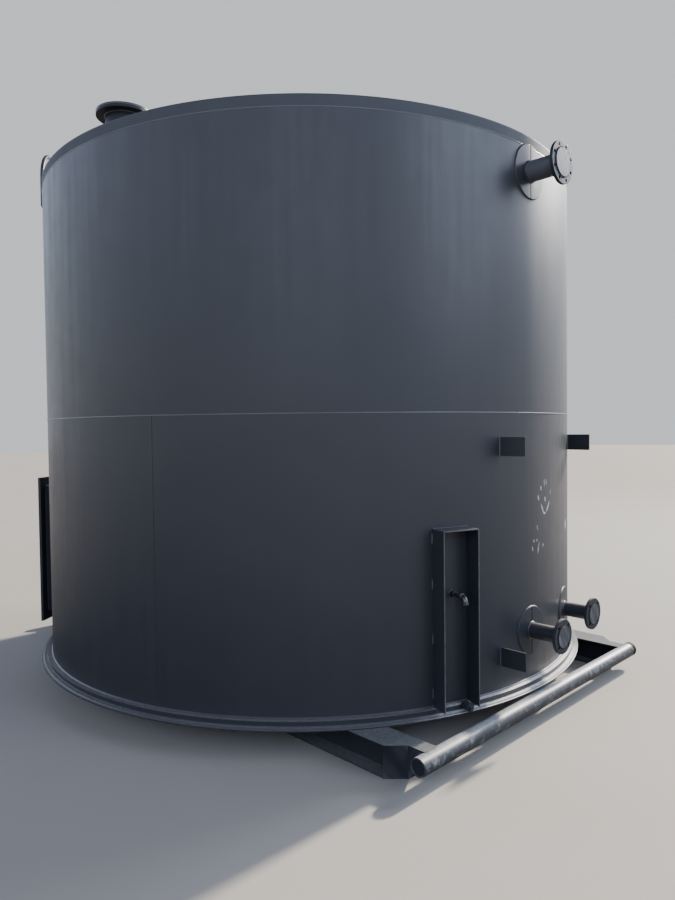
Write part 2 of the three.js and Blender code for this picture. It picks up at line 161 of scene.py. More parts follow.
floor_paint, floor_tree = new_material("pale matt floor")
floor_place = add(floor_tree, "ShaderNodeTexCoord").outputs["Object"]
floor_cloud = add(floor_tree, "ShaderNodeTexNoise", {"Vector": floor_place, "Scale": 0.7})
floor_tone = add(floor_tree, "ShaderNodeMix", {
    "Factor": floor_cloud, "A": srgb("A39F98"), "B": srgb("ABA8A1"),
}, data_type="RGBA")
floor_span = add(floor_tree, "ShaderNodeVectorMath", {0: floor_place}, operation="LENGTH")
floor_far = add(floor_tree, "ShaderNodeMapRange", {
    "Value": floor_span, "From Min": NEAR_GROUND, "From Max": FAR_GROUND,
})
# Painted shade: the colour the floor bounces onto the tank is dark out to NEAR_GROUND from the axis
# and pales by FAR_GROUND, as if the ground round the tank lay in shadow.
floor_bounce_painted_shade = add(floor_tree, "ShaderNodeMix", {
    "Factor": floor_far, "A": srgb("45433F"), "B": srgb("8A8782"),
}, data_type="RGBA")
floor_seen = add(floor_tree, "ShaderNodeMix", {
    "Factor": add(floor_tree, "ShaderNodeLightPath").outputs["Is Camera Ray"],
    "A": floor_bounce_painted_shade, "B": floor_tone,
}, data_type="RGBA")
floor_shader = add(floor_tree, "ShaderNodeBsdfPrincipled", {
    "Base Color": floor_seen, "Roughness": 0.9})
add(floor_tree, "ShaderNodeOutputMaterial", {"Surface": floor_shader})
floor_bm = bmesh.new()
bmesh.ops.create_circle(floor_bm, cap_ends=True, segments=64, radius=FLOOR_RADIUS)
floor_mesh = bpy.data.meshes.new("studio_floor")
floor_bm.to_mesh(floor_mesh)
floor_bm.free()
floor_mesh.materials.append(floor_paint)
floor = bpy.data.objects.new("studio_floor", floor_mesh)
scene.collection.objects.link(floor)

# The paint: a charcoal alkyd enamel sprayed on in one coat over blasted steel. It dries to a
# cloudy semi-gloss with faint orange peel, and yard dust settles on what faces up and
# splashes up from the ground. Every steel piece but the threaded fittings wears it.
CHARCOAL = ("2A2D34", "32353C")
YARD_DUST = "A5A197"
CLOUD = 0.45
PATCH = 0.12
GRIT = 0.018
PEEL = 0.006
RAIN_RUNS = (22, 22, 1.0)
SPLASH_HEIGHT = 0.32
DUST_LIES_FROM = 0.55


def math_node(tree, operation, first, second=0.0, clamp=False):
    return add(tree, "ShaderNodeMath", {0: first, 1: second}, operation=operation, use_clamp=clamp)


def enamel(name, tones=CHARCOAL, gloss=0.40, dust=0.10, splash=0.06, streaks=0.0, shine=0.5,
           marks=None, mark_tone="B9BDC2", soil_tone=YARD_DUST, dust_and_sun_spread=None):
    """Two clouded tones under settled dust, splashes and marks, with a patchy, streaked gloss."""
    material, tree = new_material(name)
    maths = partial(math_node, tree)
    place = add(tree, "ShaderNodeTexCoord").outputs["Object"]
    cloudy, patchy, grit, peel = (
        add(tree, "ShaderNodeTexNoise", {"Vector": place, "Scale": 1 / size, "Detail": detail})
        for size, detail in ((CLOUD, 3.0), (PATCH, 2.0), (GRIT, 4.0), (PEEL, 2.0)))
    coat = add(tree, "ShaderNodeMix", {
        "Factor": cloudy, "A": srgb(tones[0]), "B": srgb(tones[1])}, data_type="RGBA")
    facing = add(tree, "ShaderNodeNewGeometry").outputs["Normal"]
    upward = add(tree, "ShaderNodeSeparateXYZ", {"Vector": facing}).outputs["Z"]
    height = add(tree, "ShaderNodeSeparateXYZ", {"Vector": place}).outputs["Z"]
    level = maths("SUBTRACT", upward, DUST_LIES_FROM, True)
    settled = maths("MULTIPLY", level, 2.2 * dust, True)
    # An optional mask spreads the settled dust; on the floor plates it also paints sunlight.
    if dust_and_sun_spread:
        settled = maths("MULTIPLY", settled, dust_and_sun_spread(tree, place, maths))
    near_ground = maths("SUBTRACT", 1.0, maths("DIVIDE", height, SPLASH_HEIGHT), True)
    splashed = maths("MULTIPLY", maths("POWER", near_ground, 2.0), splash, True)
    gritty = maths("ADD", grit, 0.35)
    soil = maths("MULTIPLY", maths("ADD", settled, splashed), gritty, True)
    layers = [(soil, soil_tone)]
    if marks:
        layers.append((marks(tree, place, maths), mark_tone))
    for amount, tone in layers:
        coat = add(tree, "ShaderNodeMix", {
            "Factor": amount, "A": coat, "B": srgb(tone)}, data_type="RGBA")
    rain = add(tree, "ShaderNodeVectorMath", {0: place, 1: RAIN_RUNS}, operation="MULTIPLY")
    runs = add(tree, "ShaderNodeTexNoise", {"Vector": rain, "Scale": 1.0, "Detail": 3.0})
    base = gloss - 0.05 - streaks / 2
    sheen = maths("ADD", maths("MULTIPLY", patchy, 0.10), base)
    sheen = maths("ADD", sheen, maths("MULTIPLY", runs, streaks))
    rough = maths("ADD", sheen, maths("MULTIPLY", soil, 0.45), True)
    relief = add(tree, "ShaderNodeBump", {"Height": peel, "Strength": 0.25, "Distance": 0.0004})
    shader = add(tree, "ShaderNodeBsdfPrincipled", {
        "Base Color": coat, "Roughness": rough, "Normal": relief,
        "IOR": 1.5, "Specular IOR Level": shine})
    add(tree, "ShaderNodeOutputMaterial", {"Surface": shader})
    return material


# Painted shade: the skid's sections wear a darker copy of the charcoal with little specular, for the
# shade on the runners' ends and webs.
skid_enamel = enamel("charcoal enamel painted darker on rolled sections", ("20232A", "272A31"), gloss=0.50,
                     dust=0.38, splash=0.05, shine=0.15, soil_tone="A4A6A8")
weld_enamel = enamel("charcoal enamel thin over weld beads", ("3E4149", "4C4F57"), gloss=0.34,
                     dust=0.05)

# The skid beams: two wide-flange runners with three lighter-loaded cross members between them,
# hot rolled, so their toes are soft and their roots filleted. They are cut to length, the
# runners' outer flange halves coped at 45 degrees, and all are welded together.
SHARP = radians(32)
TOE_ROUND = 0.0015
ROOT_FILLET = 0.007


def as_mesh(bm):
    bmesh.ops.recalc_face_normals(bm, faces=bm.faces)
    mesh = bpy.data.meshes.new("plain mesh")
    bm.to_mesh(mesh)
    bm.free()
    return mesh


def dress(name, mesh, material, slot, *stands_for):
    """A finished piece: smooth where it should be, painted, and fixed to the tank."""
    mesh.name = name
    mesh.shade_smooth()
    mesh.set_sharp_from_angle(angle=SHARP)
    mesh.materials.clear()
    mesh.materials.append(material)
    piece = bpy.data.objects.new(name, mesh)
    scene.collection.objects.link(piece)
    flat_first = piece.modifiers.new("flat faces stay flat", "WEIGHTED_NORMAL")
    flat_first.keep_sharp = True
    flat_first.weight = 90
    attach(piece, "root")
    if stands_for:
        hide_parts(*stands_for)
    return piece


def softened(node, edge, root=0.0):
    """A merged copy of a solid, its outer edges rounded and its inner corners filleted."""
    bm = bmesh.new()
    bm.from_mesh(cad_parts[node].data)
    bmesh.ops.remove_doubles(bm, verts=bm.verts, dist=2e-5)
    bmesh.ops.dissolve_limit(bm, angle_limit=radians(0.5), verts=bm.verts, edges=bm.edges)
    bmesh.ops.recalc_face_normals(bm, faces=bm.faces)
    if root:
        roots = [e for e in bm.edges if e.calc_face_angle_signed(0) < -SHARP]
        bmesh.ops.bevel(bm, geom=roots, offset=root, segments=3, profile=0.5, affect="EDGES",
                        clamp_overlap=True)
    toes = [e for e in bm.edges if e.calc_face_angle_signed(0) > radians(60)]
    bmesh.ops.bevel(bm, geom=toes, offset=edge, segments=2, profile=0.5, affect="EDGES",
                    clamp_overlap=True)
    return as_mesh(bm)


for node in ("runner_left", "runner_right", "cross_member_rear", "cross_member_middle",
             "cross_member_front"):
    dress(node + "_beam", softened(node, TOE_ROUND, ROOT_FILLET), skid_enamel, "skid_paint", node)

# The crossbars: a length of pipe across each end of the skid, for dragging the tank and for
# slings. Each open end is closed with a plate let in a little way and welded round. Chains
# and slings have rubbed the paint of the pipe pale.
CROSSBAR_BORE = 0.03896
CROSSBAR_RADIUS = 0.04445
PIPE_SIDES = 96
CAP_RECESS = 0.002
CAP_THICK = 0.00635
END_BAND = 0.040
PIPE_EDGE = 0.0012
CUT_EDGE = 0.0008
GAP = 0.0003


def scuffs(tree, place, maths):
    """Patches where a chain has rubbed the paint thin."""
    rubbed = add(tree, "ShaderNodeTexNoise", {"Vector": place, "Scale": 1 / 0.030, "Detail": 5.0})
    return maths("MULTIPLY", maths("SUBTRACT", rubbed, 0.52, True), 3.4, True)


bar_enamel = enamel("rubbed enamel on drag pipe", ("2E3136", "3F4247"), gloss=0.33, dust=0.5,
                    splash=0.0, shine=0.6, marks=scuffs, mark_tone="8A8E94", soil_tone="C6CAD0")
# A near-black band of enamel, END_BAND long, at one end of each pipe.
dark_end_enamel = enamel("near-black enamel band at the pipe ends", ("131417", "1A1B1E"), gloss=0.75, dust=0.0,
                splash=0.0, shine=0.15)


def turns(count, start=0):
    """The angles of evenly spaced places round a circle."""
    return [2 * pi * (i + start) / count for i in range(count)]


def section(inner, outer, foot, head):
    """The outline of a ring or disc, as (radius, height) corners for turned()."""
    return [(inner, foot), (outer, foot), (outer, head), (inner, head)]


def rounded(outline, radius, steps):
    """A closed outline with its corners turned to arcs. Corners on the axis stay."""
    points = [Vector(p) for p in outline]
    result = []
    for i, corner in enumerate(points):
        before = points[i - 1] - corner
        after = points[(i + 1) % len(points)] - corner
        reach = min(radius, 0.45 * before.length, 0.45 * after.length)
        if corner.x < 1e-6:
            result.append(corner)
            continue
        start = corner + before.normalized() * reach
        end = corner + after.normalized() * reach
        for k in range(steps + 1):
            t = k / steps
            result.append(start.lerp(corner, t).lerp(corner.lerp(end, t), t))
    return result


def turned(outline, edge=0.0, place=Matrix(), sides=PIPE_SIDES, steps=3):
    """A closed solid: an outline, its edges rounded, turned about the place's own Z axis."""
    bm = bmesh.new()
    rings = []
    for radius, height in rounded(outline, edge, steps) if edge else outline:
        if radius < 1e-6:
            rings.append([bm.verts.new((0, 0, height))] * sides)
        else:
            rings.append([bm.verts.new((radius * cos(a), radius * sin(a), height))
                          for a in turns(sides)])
    for i, ring in enumerate(rings):
        above = rings[(i + 1) % len(rings)]
        for j in range(sides):
            corners = [ring[j], ring[(j + 1) % sides], above[(j + 1) % sides], above[j]]
            corners = list(dict.fromkeys(corners))
            if len(corners) > 2:
                bm.faces.new(corners)
    bm.transform(place)
    return as_mesh(bm)


for end in ("rear", "front"):
    low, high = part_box("crossbar_" + end)
    half = (high.y - low.y) / 2
    across = Matrix.Translation((low + high) / 2) @ Matrix.Rotation(radians(-90), 4, "X")
    painted = section(CROSSBAR_BORE, CROSSBAR_RADIUS, -half, half - END_BAND)
    dark_end_band = section(CROSSBAR_BORE, CROSSBAR_RADIUS, half - END_BAND, half)
    dress("crossbar_pipe_" + end, turned(painted, PIPE_EDGE, across), bar_enamel, "skid_paint",
          "crossbar_" + end)
    dress("crossbar_dark_end_" + end, turned(dark_end_band, PIPE_EDGE, across), dark_end_enamel, "skid_paint")
    for side, sign in (("left", -1), ("right", 1)):
        face = sign * (half - CAP_RECESS)
        cap = section(0, CROSSBAR_BORE - GAP, face - sign * CAP_THICK, face)
        dress(f"crossbar_plate_{end}_{side}", turned(cap, CUT_EDGE, across), skid_enamel,
              "skid_paint", f"crossbar_cap_{end}_{side}")

# Weld beads: solid wire laid by hand, in a row of overlapping ripples that wander slightly.
# A butt weld stands a couple of millimetres proud of the plate, and a fillet fills a corner.
# The ripples are drawn at 10 mm, coarser than the real 3 mm, so that they show.
RIPPLE = 0.010
STEPS_A_RIPPLE = 3
UNEVENNESS = 0.22


def new_tree(name, sockets):
    """A Geometry Nodes tree with named inputs, its group input and its output node."""
    tree = bpy.data.node_groups.new(name, "GeometryNodeTree")
    for label, kind in sockets.items():
        tree.interface.new_socket(label, in_out="INPUT", socket_type="NodeSocket" + kind)
    tree.interface.new_socket("Result", in_out="OUTPUT", socket_type="NodeSocketGeometry")
    return tree, tree.nodes.new("NodeGroupInput").outputs, tree.nodes.new("NodeGroupOutput").inputs


def grown(name, source, tree, values):
    """The plain mesh that a Geometry Nodes tree makes from a source mesh."""
    carrier = bpy.data.objects.new(name, source)
    scene.collection.objects.link(carrier)
    modifier = carrier.modifiers.new("grow", "NODES")
    modifier.node_group = tree
    for item in tree.interface.items_tree:
        if item.in_out == "INPUT" and item.name in values:
            modifier[item.identifier] = values[item.name]
    evaluated = carrier.evaluated_get(bpy.context.evaluated_depsgraph_get())
    mesh = bpy.data.meshes.new_from_object(evaluated)
    carrier.modifiers.remove(modifier)
    bpy.data.objects.remove(carrier)
    return mesh


def end_in_paint(tree, geometry, given, result):
    """The last nodes of a tree: one real mesh that wears the paint."""
    real = add(tree, "GeometryNodeRealizeInstances", {"Geometry": geometry})
    painted = add(tree, "GeometryNodeSetMaterial",
                  {"Geometry": real, "Material": given["Paint"]})
    tree.links.new(painted.outputs["Geometry"], result["Result"])
    return tree


def bead_tree():
    tree, given, result = new_tree("weld bead", {
        "Path": "Geometry", "Width": "Float", "Crown": "Float", "Depth": "Float",
        "Ripple": "Float", "Roughness": "Float", "Paint": "Material",
    })
    maths = partial(math_node, tree)
    curve = add(tree, "GeometryNodeMeshToCurve", {"Mesh": given["Path"]})
    step = maths("DIVIDE", given["Ripple"], STEPS_A_RIPPLE)
    run = add(tree, "GeometryNodeResampleCurve", {"Curve": curve, "Length": step}, mode="LENGTH")
    outward = add(tree, "GeometryNodeInputNamedAttribute", {"Name": "outward"},
                  data_type="FLOAT_VECTOR")
    faced = add(tree, "GeometryNodeSetCurveNormal", {"Curve": run, "Normal": outward}, mode="FREE")
    along = add(tree, "GeometryNodeSplineParameter").outputs["Length"]
    phase = maths("MULTIPLY", maths("DIVIDE", along, given["Ripple"]), pi)
    ripple = maths("ABSOLUTE", maths("SINE", phase))
    here = add(tree, "GeometryNodeInputPosition").outputs["Position"]
    wander = add(tree, "ShaderNodeTexNoise", {"Vector": here, "Scale": 22.0, "Detail": 1.0})
    uneven = maths("MULTIPLY", maths("SUBTRACT", wander, 0.5), given["Roughness"])
    swell = maths("ADD", maths("ADD", 0.86, maths("MULTIPLY", ripple, 0.16)), uneven)
    circle = add(tree, "GeometryNodeCurvePrimitiveCircle", {"Resolution": 6, "Radius": 1.0})
    corner = add(tree, "ShaderNodeSeparateXYZ", {"Vector": here}).outputs
    proud = maths("GREATER_THAN", corner["X"], 0.0)
    above = maths("MULTIPLY", proud, given["Crown"])
    below = maths("MULTIPLY", maths("SUBTRACT", 1.0, proud), given["Depth"])
    lift = maths("MULTIPLY", corner["X"], maths("ADD", above, below))
    spread = maths("MULTIPLY", corner["Y"], maths("MULTIPLY", given["Width"], 0.5))
    moved = add(tree, "ShaderNodeCombineXYZ", {"X": lift, "Y": spread})
    profile = add(tree, "GeometryNodeSetPosition", {"Geometry": circle, "Position": moved})
    solid = add(tree, "GeometryNodeCurveToMesh", {
        "Curve": faced, "Profile Curve": profile, "Scale": swell, "Fill Caps": True})
    return end_in_paint(tree, solid, given, result)


BEAD = bead_tree()


def run_between(start, end, outward):
    return [(Vector(start), Vector(outward)), (Vector(end), Vector(outward))], False


def run_round(radius, height, radial, vertical, steps=360):
    """A run round the tank, whose outward side leans by its radial and vertical shares."""
    points = []
    for i in range(steps):
        a = 360 * i / steps
        points.append((polar(a, radius, height), polar(a, radial, vertical)))
    return points, True


def weld(name, runs, paint, slot, width, crown, depth=0.003):
    """Beads along runs: points with their outward sides, and whether the run is closed."""
    vertices, edges, outward = [], [], []
    for points, closed in runs:
        first = len(vertices)
        vertices += [p for p, _ in points]
        outward += [value for _, o in points for value in o.normalized()]
        edges += [(first + i, first + i + 1) for i in range(len(points) - 1)]
        if closed:
            edges.append((first + len(points) - 1, first))
    path = bpy.data.meshes.new(name)
    path.from_pydata(vertices, edges, [])
    path.attributes.new("outward", "FLOAT_VECTOR", "POINT").data.foreach_set("vector", outward)
    values = {"Width": width, "Crown": crown, "Depth": depth, "Ripple": RIPPLE,
              "Roughness": UNEVENNESS, "Paint": paint}
    return dress(name, grown(name, path, BEAD, values), paint, slot)


def fillet(name, runs, paint, slot, leg):
    """A fillet weld: each run is the corner's own line, facing out of the corner."""
    diagonal = leg / sqrt(2)
    shifted = []
    for points, closed in runs:
        shifted.append(([(p + o.normalized() * diagonal, o) for p, o in points], closed))
    return weld(name, shifted, paint, slot, leg * sqrt(2), 0.18 * leg, diagonal)


# Welds of the skid: each runner's web and top flange to the crossbars, and the cross members
# to the runners' webs and flanges.
RUNNER_OFFSET = 1.0725
WEB = 0.0066
BEAM_DEPTH = 0.157
FLANGE = 0.0093
CROSS_MEMBERS_X = (-1.270, 0.0, 1.270)
SADDLE_FROM, SADDLE_TO = -70, 48
SADDLE_STEPS = 14
WELD_STOPS_SHORT = 0.006


def saddle_run(centre, y, outward_y, flip):
    """Along a runner's web where it is cut to the round of the crossbar."""
    points = []
    for i in range(SADDLE_STEPS + 1):
        a = radians(SADDLE_FROM + (SADDLE_TO - SADDLE_FROM) * i / SADDLE_STEPS)
        direction = Vector((-flip * cos(a), 0, sin(a)))
        place = Vector((centre.x, y, centre.z)) + direction * CROSSBAR_RADIUS
        points.append((place, direction + Vector((0, outward_y, 0))))
    return points, False


skid_runs = []
cap_runs = []
for end, flip in (("rear", -1), ("front", 1)):
    low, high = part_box("crossbar_" + end)
    bar = (low + high) / 2
    for side in (-1, 1):
        for face in (-1, 1):
            skid_runs.append(saddle_run(bar, side * RUNNER_OFFSET + face * WEB / 2, face, flip))
        rim = side * (high.y - CAP_RECESS)
        ring = [(Vector((bar.x + CROSSBAR_BORE * cos(a), rim, bar.z + CROSSBAR_BORE * sin(a))),
                 Vector((-cos(a), side, -sin(a)))) for a in turns(48)]
        cap_runs.append((ring, True))
weld_foot = FLANGE + WELD_STOPS_SHORT
weld_head = BEAM_DEPTH - FLANGE - WELD_STOPS_SHORT
for x in CROSS_MEMBERS_X:
    for side in (-1, 1):
        y = side * (RUNNER_OFFSET - WEB / 2)
        for face in (-1, 1):
            x_face = x + face * WEB / 2
            skid_runs.append(run_between((x_face, y, weld_foot), (x_face, y, weld_head),
                                         (face, -side, 0)))
fillet("skid_welds", skid_runs, weld_enamel, "skid_paint", leg=0.006)
fillet("crossbar_plate_welds", cap_runs, weld_enamel, "skid_paint", leg=0.0025)

# The bottom: four round plates cut on a burning table, one above another. The tank's own floor
# and the lower floor keep the leak-detection layer between them, all on the wider deck plate,
# and a fillet weld seals each step.
ROUND_SIDES = 720
PLATE_EDGE = 0.001
DECK_RADIUS = 1.895
LOWER_BOTTOM_RADIUS = 1.881
LEAK_LAYER_RADIUS = 1.860
UPPER_BOTTOM_RADIUS = 1.862
SHELL_RADIUS = 1.829
DUST_AND_SUN_FROM_X = 1.67


def nozzle_end_dust_and_painted_sun(tree, place, maths):
    """Dust on the floor plates, thicker towards the end with the nozzles, and painted sunlight: the
    near-white patch lies where the sun falls on the plates there.
    """
    forward = add(tree, "ShaderNodeSeparateXYZ", {"Vector": place}).outputs["X"]
    past = maths("SUBTRACT", forward, DUST_AND_SUN_FROM_X, True)
    return maths("ADD", maths("MULTIPLY", past, 7.0), 0.16, True)


# Painted sunlight: near-white dust, thick only towards the nozzle end, whitens the floor plates' tops
# and their fillet welds where the sun falls on them.
bottom_enamel = enamel("charcoal enamel on floor plates", gloss=0.40, dust=1.2, splash=0.0,
                       soil_tone="F0F0EE", dust_and_sun_spread=nozzle_end_dust_and_painted_sun)
foot_weld_enamel = enamel("dusty enamel over floor welds", ("34373E", "43464D"), gloss=0.34,
                          dust=0.5, soil_tone="E8E4DA", dust_and_sun_spread=nozzle_end_dust_and_painted_sun)


def floor_plate(node, radius):
    low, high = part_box(node)
    mesh = turned(section(0, radius, low.z, high.z), PLATE_EDGE, sides=ROUND_SIDES, steps=2)
    dress(node + "_disc", mesh, bottom_enamel, "bottom_paint", node)
    return low.z, high.z


floor_plate("deck_plate", DECK_RADIUS)
lower_floor_z, lower_floor_top = floor_plate("lower_bottom", LOWER_BOTTOM_RADIUS)
_, leak_top = floor_plate("leak_layer", LEAK_LAYER_RADIUS)
_, floor_z = floor_plate("upper_bottom", UPPER_BOTTOM_RADIUS)
for label, radius, height, lift, leg in (
        ("deck", LOWER_BOTTOM_RADIUS, lower_floor_z, 1, 0.006),
        ("lower_floor", LEAK_LAYER_RADIUS, lower_floor_top, 1, 0.002),
        ("upper_floor", LEAK_LAYER_RADIUS, leak_top, -1, 0.0015),
        ("shell_foot", SHELL_RADIUS, floor_z, 1, 0.008)):
    fillet(label + "_weld", [run_round(radius, height, 1, lift)], foot_weld_enamel,
           "bottom_paint", leg)

# The shell: two courses of quarter-inch plate, each of two plates rolled to half a circle and
# butt welded. Rolling and welding leave them a touch wavy. Hands have left two dusty prints
# on the lower front plate.
SHELL_WALL = 0.00635
COLUMNS = 361
ROWS = 25
WAVINESS = 0.0006
SEAM_SHORT = 0.004
LOWER_SEAMS = (-69, 111)
UPPER_SEAMS = (60, -120)


def rolled_plate_tree():
    tree, given, result = new_tree("rolled plate", {
        "Geometry": "Geometry", "Radius": "Float", "Wall": "Float", "Start": "Float",
        "Span": "Float", "Foot": "Float", "Height": "Float", "Columns": "Int", "Rows": "Int",
        "Waviness": "Float", "Paint": "Material",
    })
    maths = partial(math_node, tree)
    flat = add(tree, "GeometryNodeMeshGrid", {
        "Size X": given["Span"], "Size Y": given["Height"],
        "Vertices X": given["Columns"], "Vertices Y": given["Rows"],
    })
    here = add(tree, "GeometryNodeInputPosition").outputs["Position"]
    spot = add(tree, "ShaderNodeSeparateXYZ", {"Vector": here}).outputs
    half_way = maths("ADD", given["Start"], maths("MULTIPLY", given["Span"], 0.5))
    half_up = maths("ADD", given["Foot"], maths("MULTIPLY", given["Height"], 0.5))
    turn = maths("ADD", spot["X"], half_way)
    height = maths("ADD", spot["Y"], half_up)
    outward = add(tree, "ShaderNodeCombineXYZ", {
        "X": maths("COSINE", turn), "Y": maths("SINE", turn),
    })
    sample = add(tree, "ShaderNodeCombineXYZ", {
        "X": maths("MULTIPLY", turn, 4.0), "Y": maths("MULTIPLY", height, 1.3),
    })
    wave = add(tree, "ShaderNodeTexNoise", {"Vector": sample, "Scale": 1.0})
    dent = maths("MULTIPLY", maths("SUBTRACT", wave, 0.75), given["Waviness"])
    radius = maths("ADD", given["Radius"], dent)
    level = add(tree, "ShaderNodeCombineXYZ", {"Z": height})
    reach = add(tree, "ShaderNodeVectorMath", {"Vector": outward, "Scale": radius},
                operation="SCALE")
    place = add(tree, "ShaderNodeVectorMath", {0: reach, 1: level}, operation="ADD")
    bent = add(tree, "GeometryNodeSetPosition", {"Geometry": flat, "Position": place})
    plan = add(tree, "ShaderNodeVectorMath", {0: here, 1: (1.0, 1.0, 0.0)}, operation="MULTIPLY")
    axis_out = add(tree, "ShaderNodeVectorMath", {0: plan}, operation="NORMALIZE")
    inward = add(tree, "ShaderNodeVectorMath", {
        "Vector": axis_out, "Scale": maths("MULTIPLY", given["Wall"], -1.0),
    }, operation="SCALE")
    wall = add(tree, "GeometryNodeExtrudeMesh", {
        "Mesh": bent, "Offset": inward, "Individual": False})
    inner = add(tree, "GeometryNodeFlipFaces", {"Mesh": wall})
    both = add(tree, "GeometryNodeJoinGeometry", {"Geometry": [inner, bent]})
    closed = add(tree, "GeometryNodeMergeByDistance", {"Geometry": both, "Distance": 0.0001})
    return end_in_paint(tree, closed, given, result)


ROLLED_PLATE = rolled_plate_tree()


def rolled_plate(name, start, foot, height, paint):
    values = {"Radius": SHELL_RADIUS, "Wall": SHELL_WALL, "Start": radians(start), "Span": pi,
              "Foot": foot, "Height": height, "Columns": COLUMNS, "Rows": ROWS,
              "Waviness": WAVINESS, "Paint": paint}
    return grown(name, bpy.data.meshes.new(name), ROLLED_PLATE, values)


def carved(mesh, tools):
    """The closed mesh with closed tool meshes cut out of it."""
    body = bpy.data.objects.new("body", mesh)
    scene.collection.objects.link(body)
    cutters = []
    for tool in tools:
        cutter = bpy.data.objects.new("cutter", tool)
        scene.collection.objects.link(cutter)
        cut = body.modifiers.new("cut", "BOOLEAN")
        cut.operation = "DIFFERENCE"
        cut.solver = "EXACT"
        cut.object = cutter
        cutters.append(cutter)
    evaluated = body.evaluated_get(bpy.context.evaluated_depsgraph_get())
    result = bpy.data.meshes.new_from_object(evaluated)
    for spent in (body, *cutters):
        bpy.data.objects.remove(spent)
    return result


def outward_station(azimuth, height):
    """A place whose own Z axis points straight out of the tank at that azimuth and height."""
    turn = Matrix.Rotation(radians(azimuth), 4, "Z")
    return Matrix.Translation((0, 0, height)) @ turn @ Matrix.Rotation(radians(90), 4, "Y")


# Where dusty fingers and the edge of a palm smeared the paint: distance round the shell from
# +X, height, half width and half height of each smear, its lean, and how strongly it took.
TOUCHES = (
    (0.171, 1.294, 0.006, 0.020, -0.15, 0.50), (0.197, 1.298, 0.006, 0.017, -0.19, 0.45),
    (0.125, 1.267, 0.007, 0.015, -0.09, 0.75), (0.092, 1.214, 0.007, 0.015, -0.23, 0.90),
    (0.180, 1.200, 0.008, 0.014, -0.12, 0.90), (0.222, 1.153, 0.008, 0.028, 0.77, 1.00),
    (0.144, 1.147, 0.007, 0.027, -0.60, 1.00), (0.174, 1.118, 0.014, 0.006, 0.00, 1.00),
    (0.078, 1.044, 0.005, 0.017, -0.40, 0.45), (0.036, 0.972, 0.007, 0.009, 0.00, 0.60),
    (0.072, 0.973, 0.007, 0.009, 0.00, 0.60), (0.021, 0.929, 0.006, 0.015, -0.25, 0.75),
    (0.088, 0.917, 0.006, 0.023, 0.18, 0.65), (0.149, 0.934, 0.008, 0.009, 0.00, 0.60),
    (0.262, 1.236, 0.006, 0.016, 0.25, 0.40), (0.100, 0.948, 0.006, 0.012, 0.20, 0.40),
    (0.636, 0.999, 0.018, 0.029, 0.00, 0.90),
)


def hand_prints(tree, place, maths):
    """How far dusty palms and fingers covered the plate, from 0 to 1, drawn as streaky smears."""
    spot = add(tree, "ShaderNodeSeparateXYZ", {"Vector": place}).outputs
    arc = maths("MULTIPLY", maths("ARCTAN2", spot["Y"], spot["X"]), SHELL_RADIUS)
    streaks, rags = (
        add(tree, "ShaderNodeTexNoise", {"Vector": place, "Scale": 1 / size, "Detail": detail})
        for size, detail in ((0.007, 3.0), (0.012, 2.0)))
    ragged = maths("MULTIPLY", maths("SUBTRACT", rags, 0.5), 1.1)
    total = 0.0
    for across, up, half_width, half_height, lean, strength in TOUCHES:
        above = maths("SUBTRACT", spot["Z"], up)
        leant = maths("SUBTRACT", maths("SUBTRACT", arc, across), maths("MULTIPLY", above, lean))
        side = maths("DIVIDE", leant, half_width * 1.3)
        rise = maths("DIVIDE", above, half_height * 1.3)
        far = maths("ADD", maths("MULTIPLY", side, side), maths("MULTIPLY", rise, rise))
        inside = maths("SUBTRACT", 1.0, maths("ADD", far, ragged), True)
        total = maths("ADD", total, maths("MULTIPLY", inside, strength * 1.6))
    streaky = maths("SUBTRACT", maths("MULTIPLY", streaks, 2.6), 0.6, True)
    return maths("MULTIPLY", total, streaky, True)


shell_enamel = enamel("charcoal enamel on rolled plate", streaks=0.18)
printed_enamel = enamel("charcoal enamel with dusty hand prints", marks=hand_prints, streaks=0.18)
seam_z, band_z = (corner.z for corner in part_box("upper_shell_front"))
rim_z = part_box("rim_band")[1].z

# Openings in the shell for the nozzle necks and the cleanout's frame. The nozzles point along
# +X, so one that stands off to the side leaves the shell at a slant.
CLEANOUT_AZIMUTH = -142.5
CLEANOUT = {"half_width": 0.305, "half_height": 0.457, "neck": 0.0095, "border": 0.076,
            "plate": 0.0095, "reach": 0.160}
CUT_IN, CUT_OUT = 0.15, 0.1


def root_x(side, radius=SHELL_RADIUS):
    return sqrt(radius ** 2 - side ** 2)


def along_x(side, height):
    """A place at a nozzle's root on the shell, whose own Z axis points along +X."""
    return Matrix.Translation((root_x(side), side, height)) @ Matrix.Rotation(radians(90), 4, "Y")


def neck_hole(node):
    low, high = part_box(node)
    hole = section(0, (high.z - low.z) / 2 + GAP, -CUT_OUT, CUT_OUT)
    place = along_x((low.y + high.y) / 2, (low.z + high.z) / 2)
    return turned(hole, place=place, sides=48)


def block(low, high, place=Matrix()):
    bm = bmesh.new()
    bmesh.ops.create_cube(bm, size=1)
    size = Vector(high) - Vector(low)
    middle = (Vector(high) + Vector(low)) / 2
    bm.transform(place @ Matrix.Translation(middle) @ Matrix.Diagonal((*size, 1)))
    return as_mesh(bm)


cleanout_low, cleanout_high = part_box("cleanout_cover")
cleanout_mid = (cleanout_low + cleanout_high) / 2
cleanout_place = (Matrix.Translation((0, 0, cleanout_mid.z))
                  @ Matrix.Rotation(radians(CLEANOUT_AZIMUTH), 4, "Z"))
hole_y = CLEANOUT["half_width"] + CLEANOUT["neck"] + GAP
hole_z = CLEANOUT["half_height"] + CLEANOUT["neck"] + GAP
cleanout_tool = block((SHELL_RADIUS - CUT_IN, -hole_y, -hole_z),
                      (SHELL_RADIUS + CUT_OUT, hole_y, hole_z), cleanout_place)

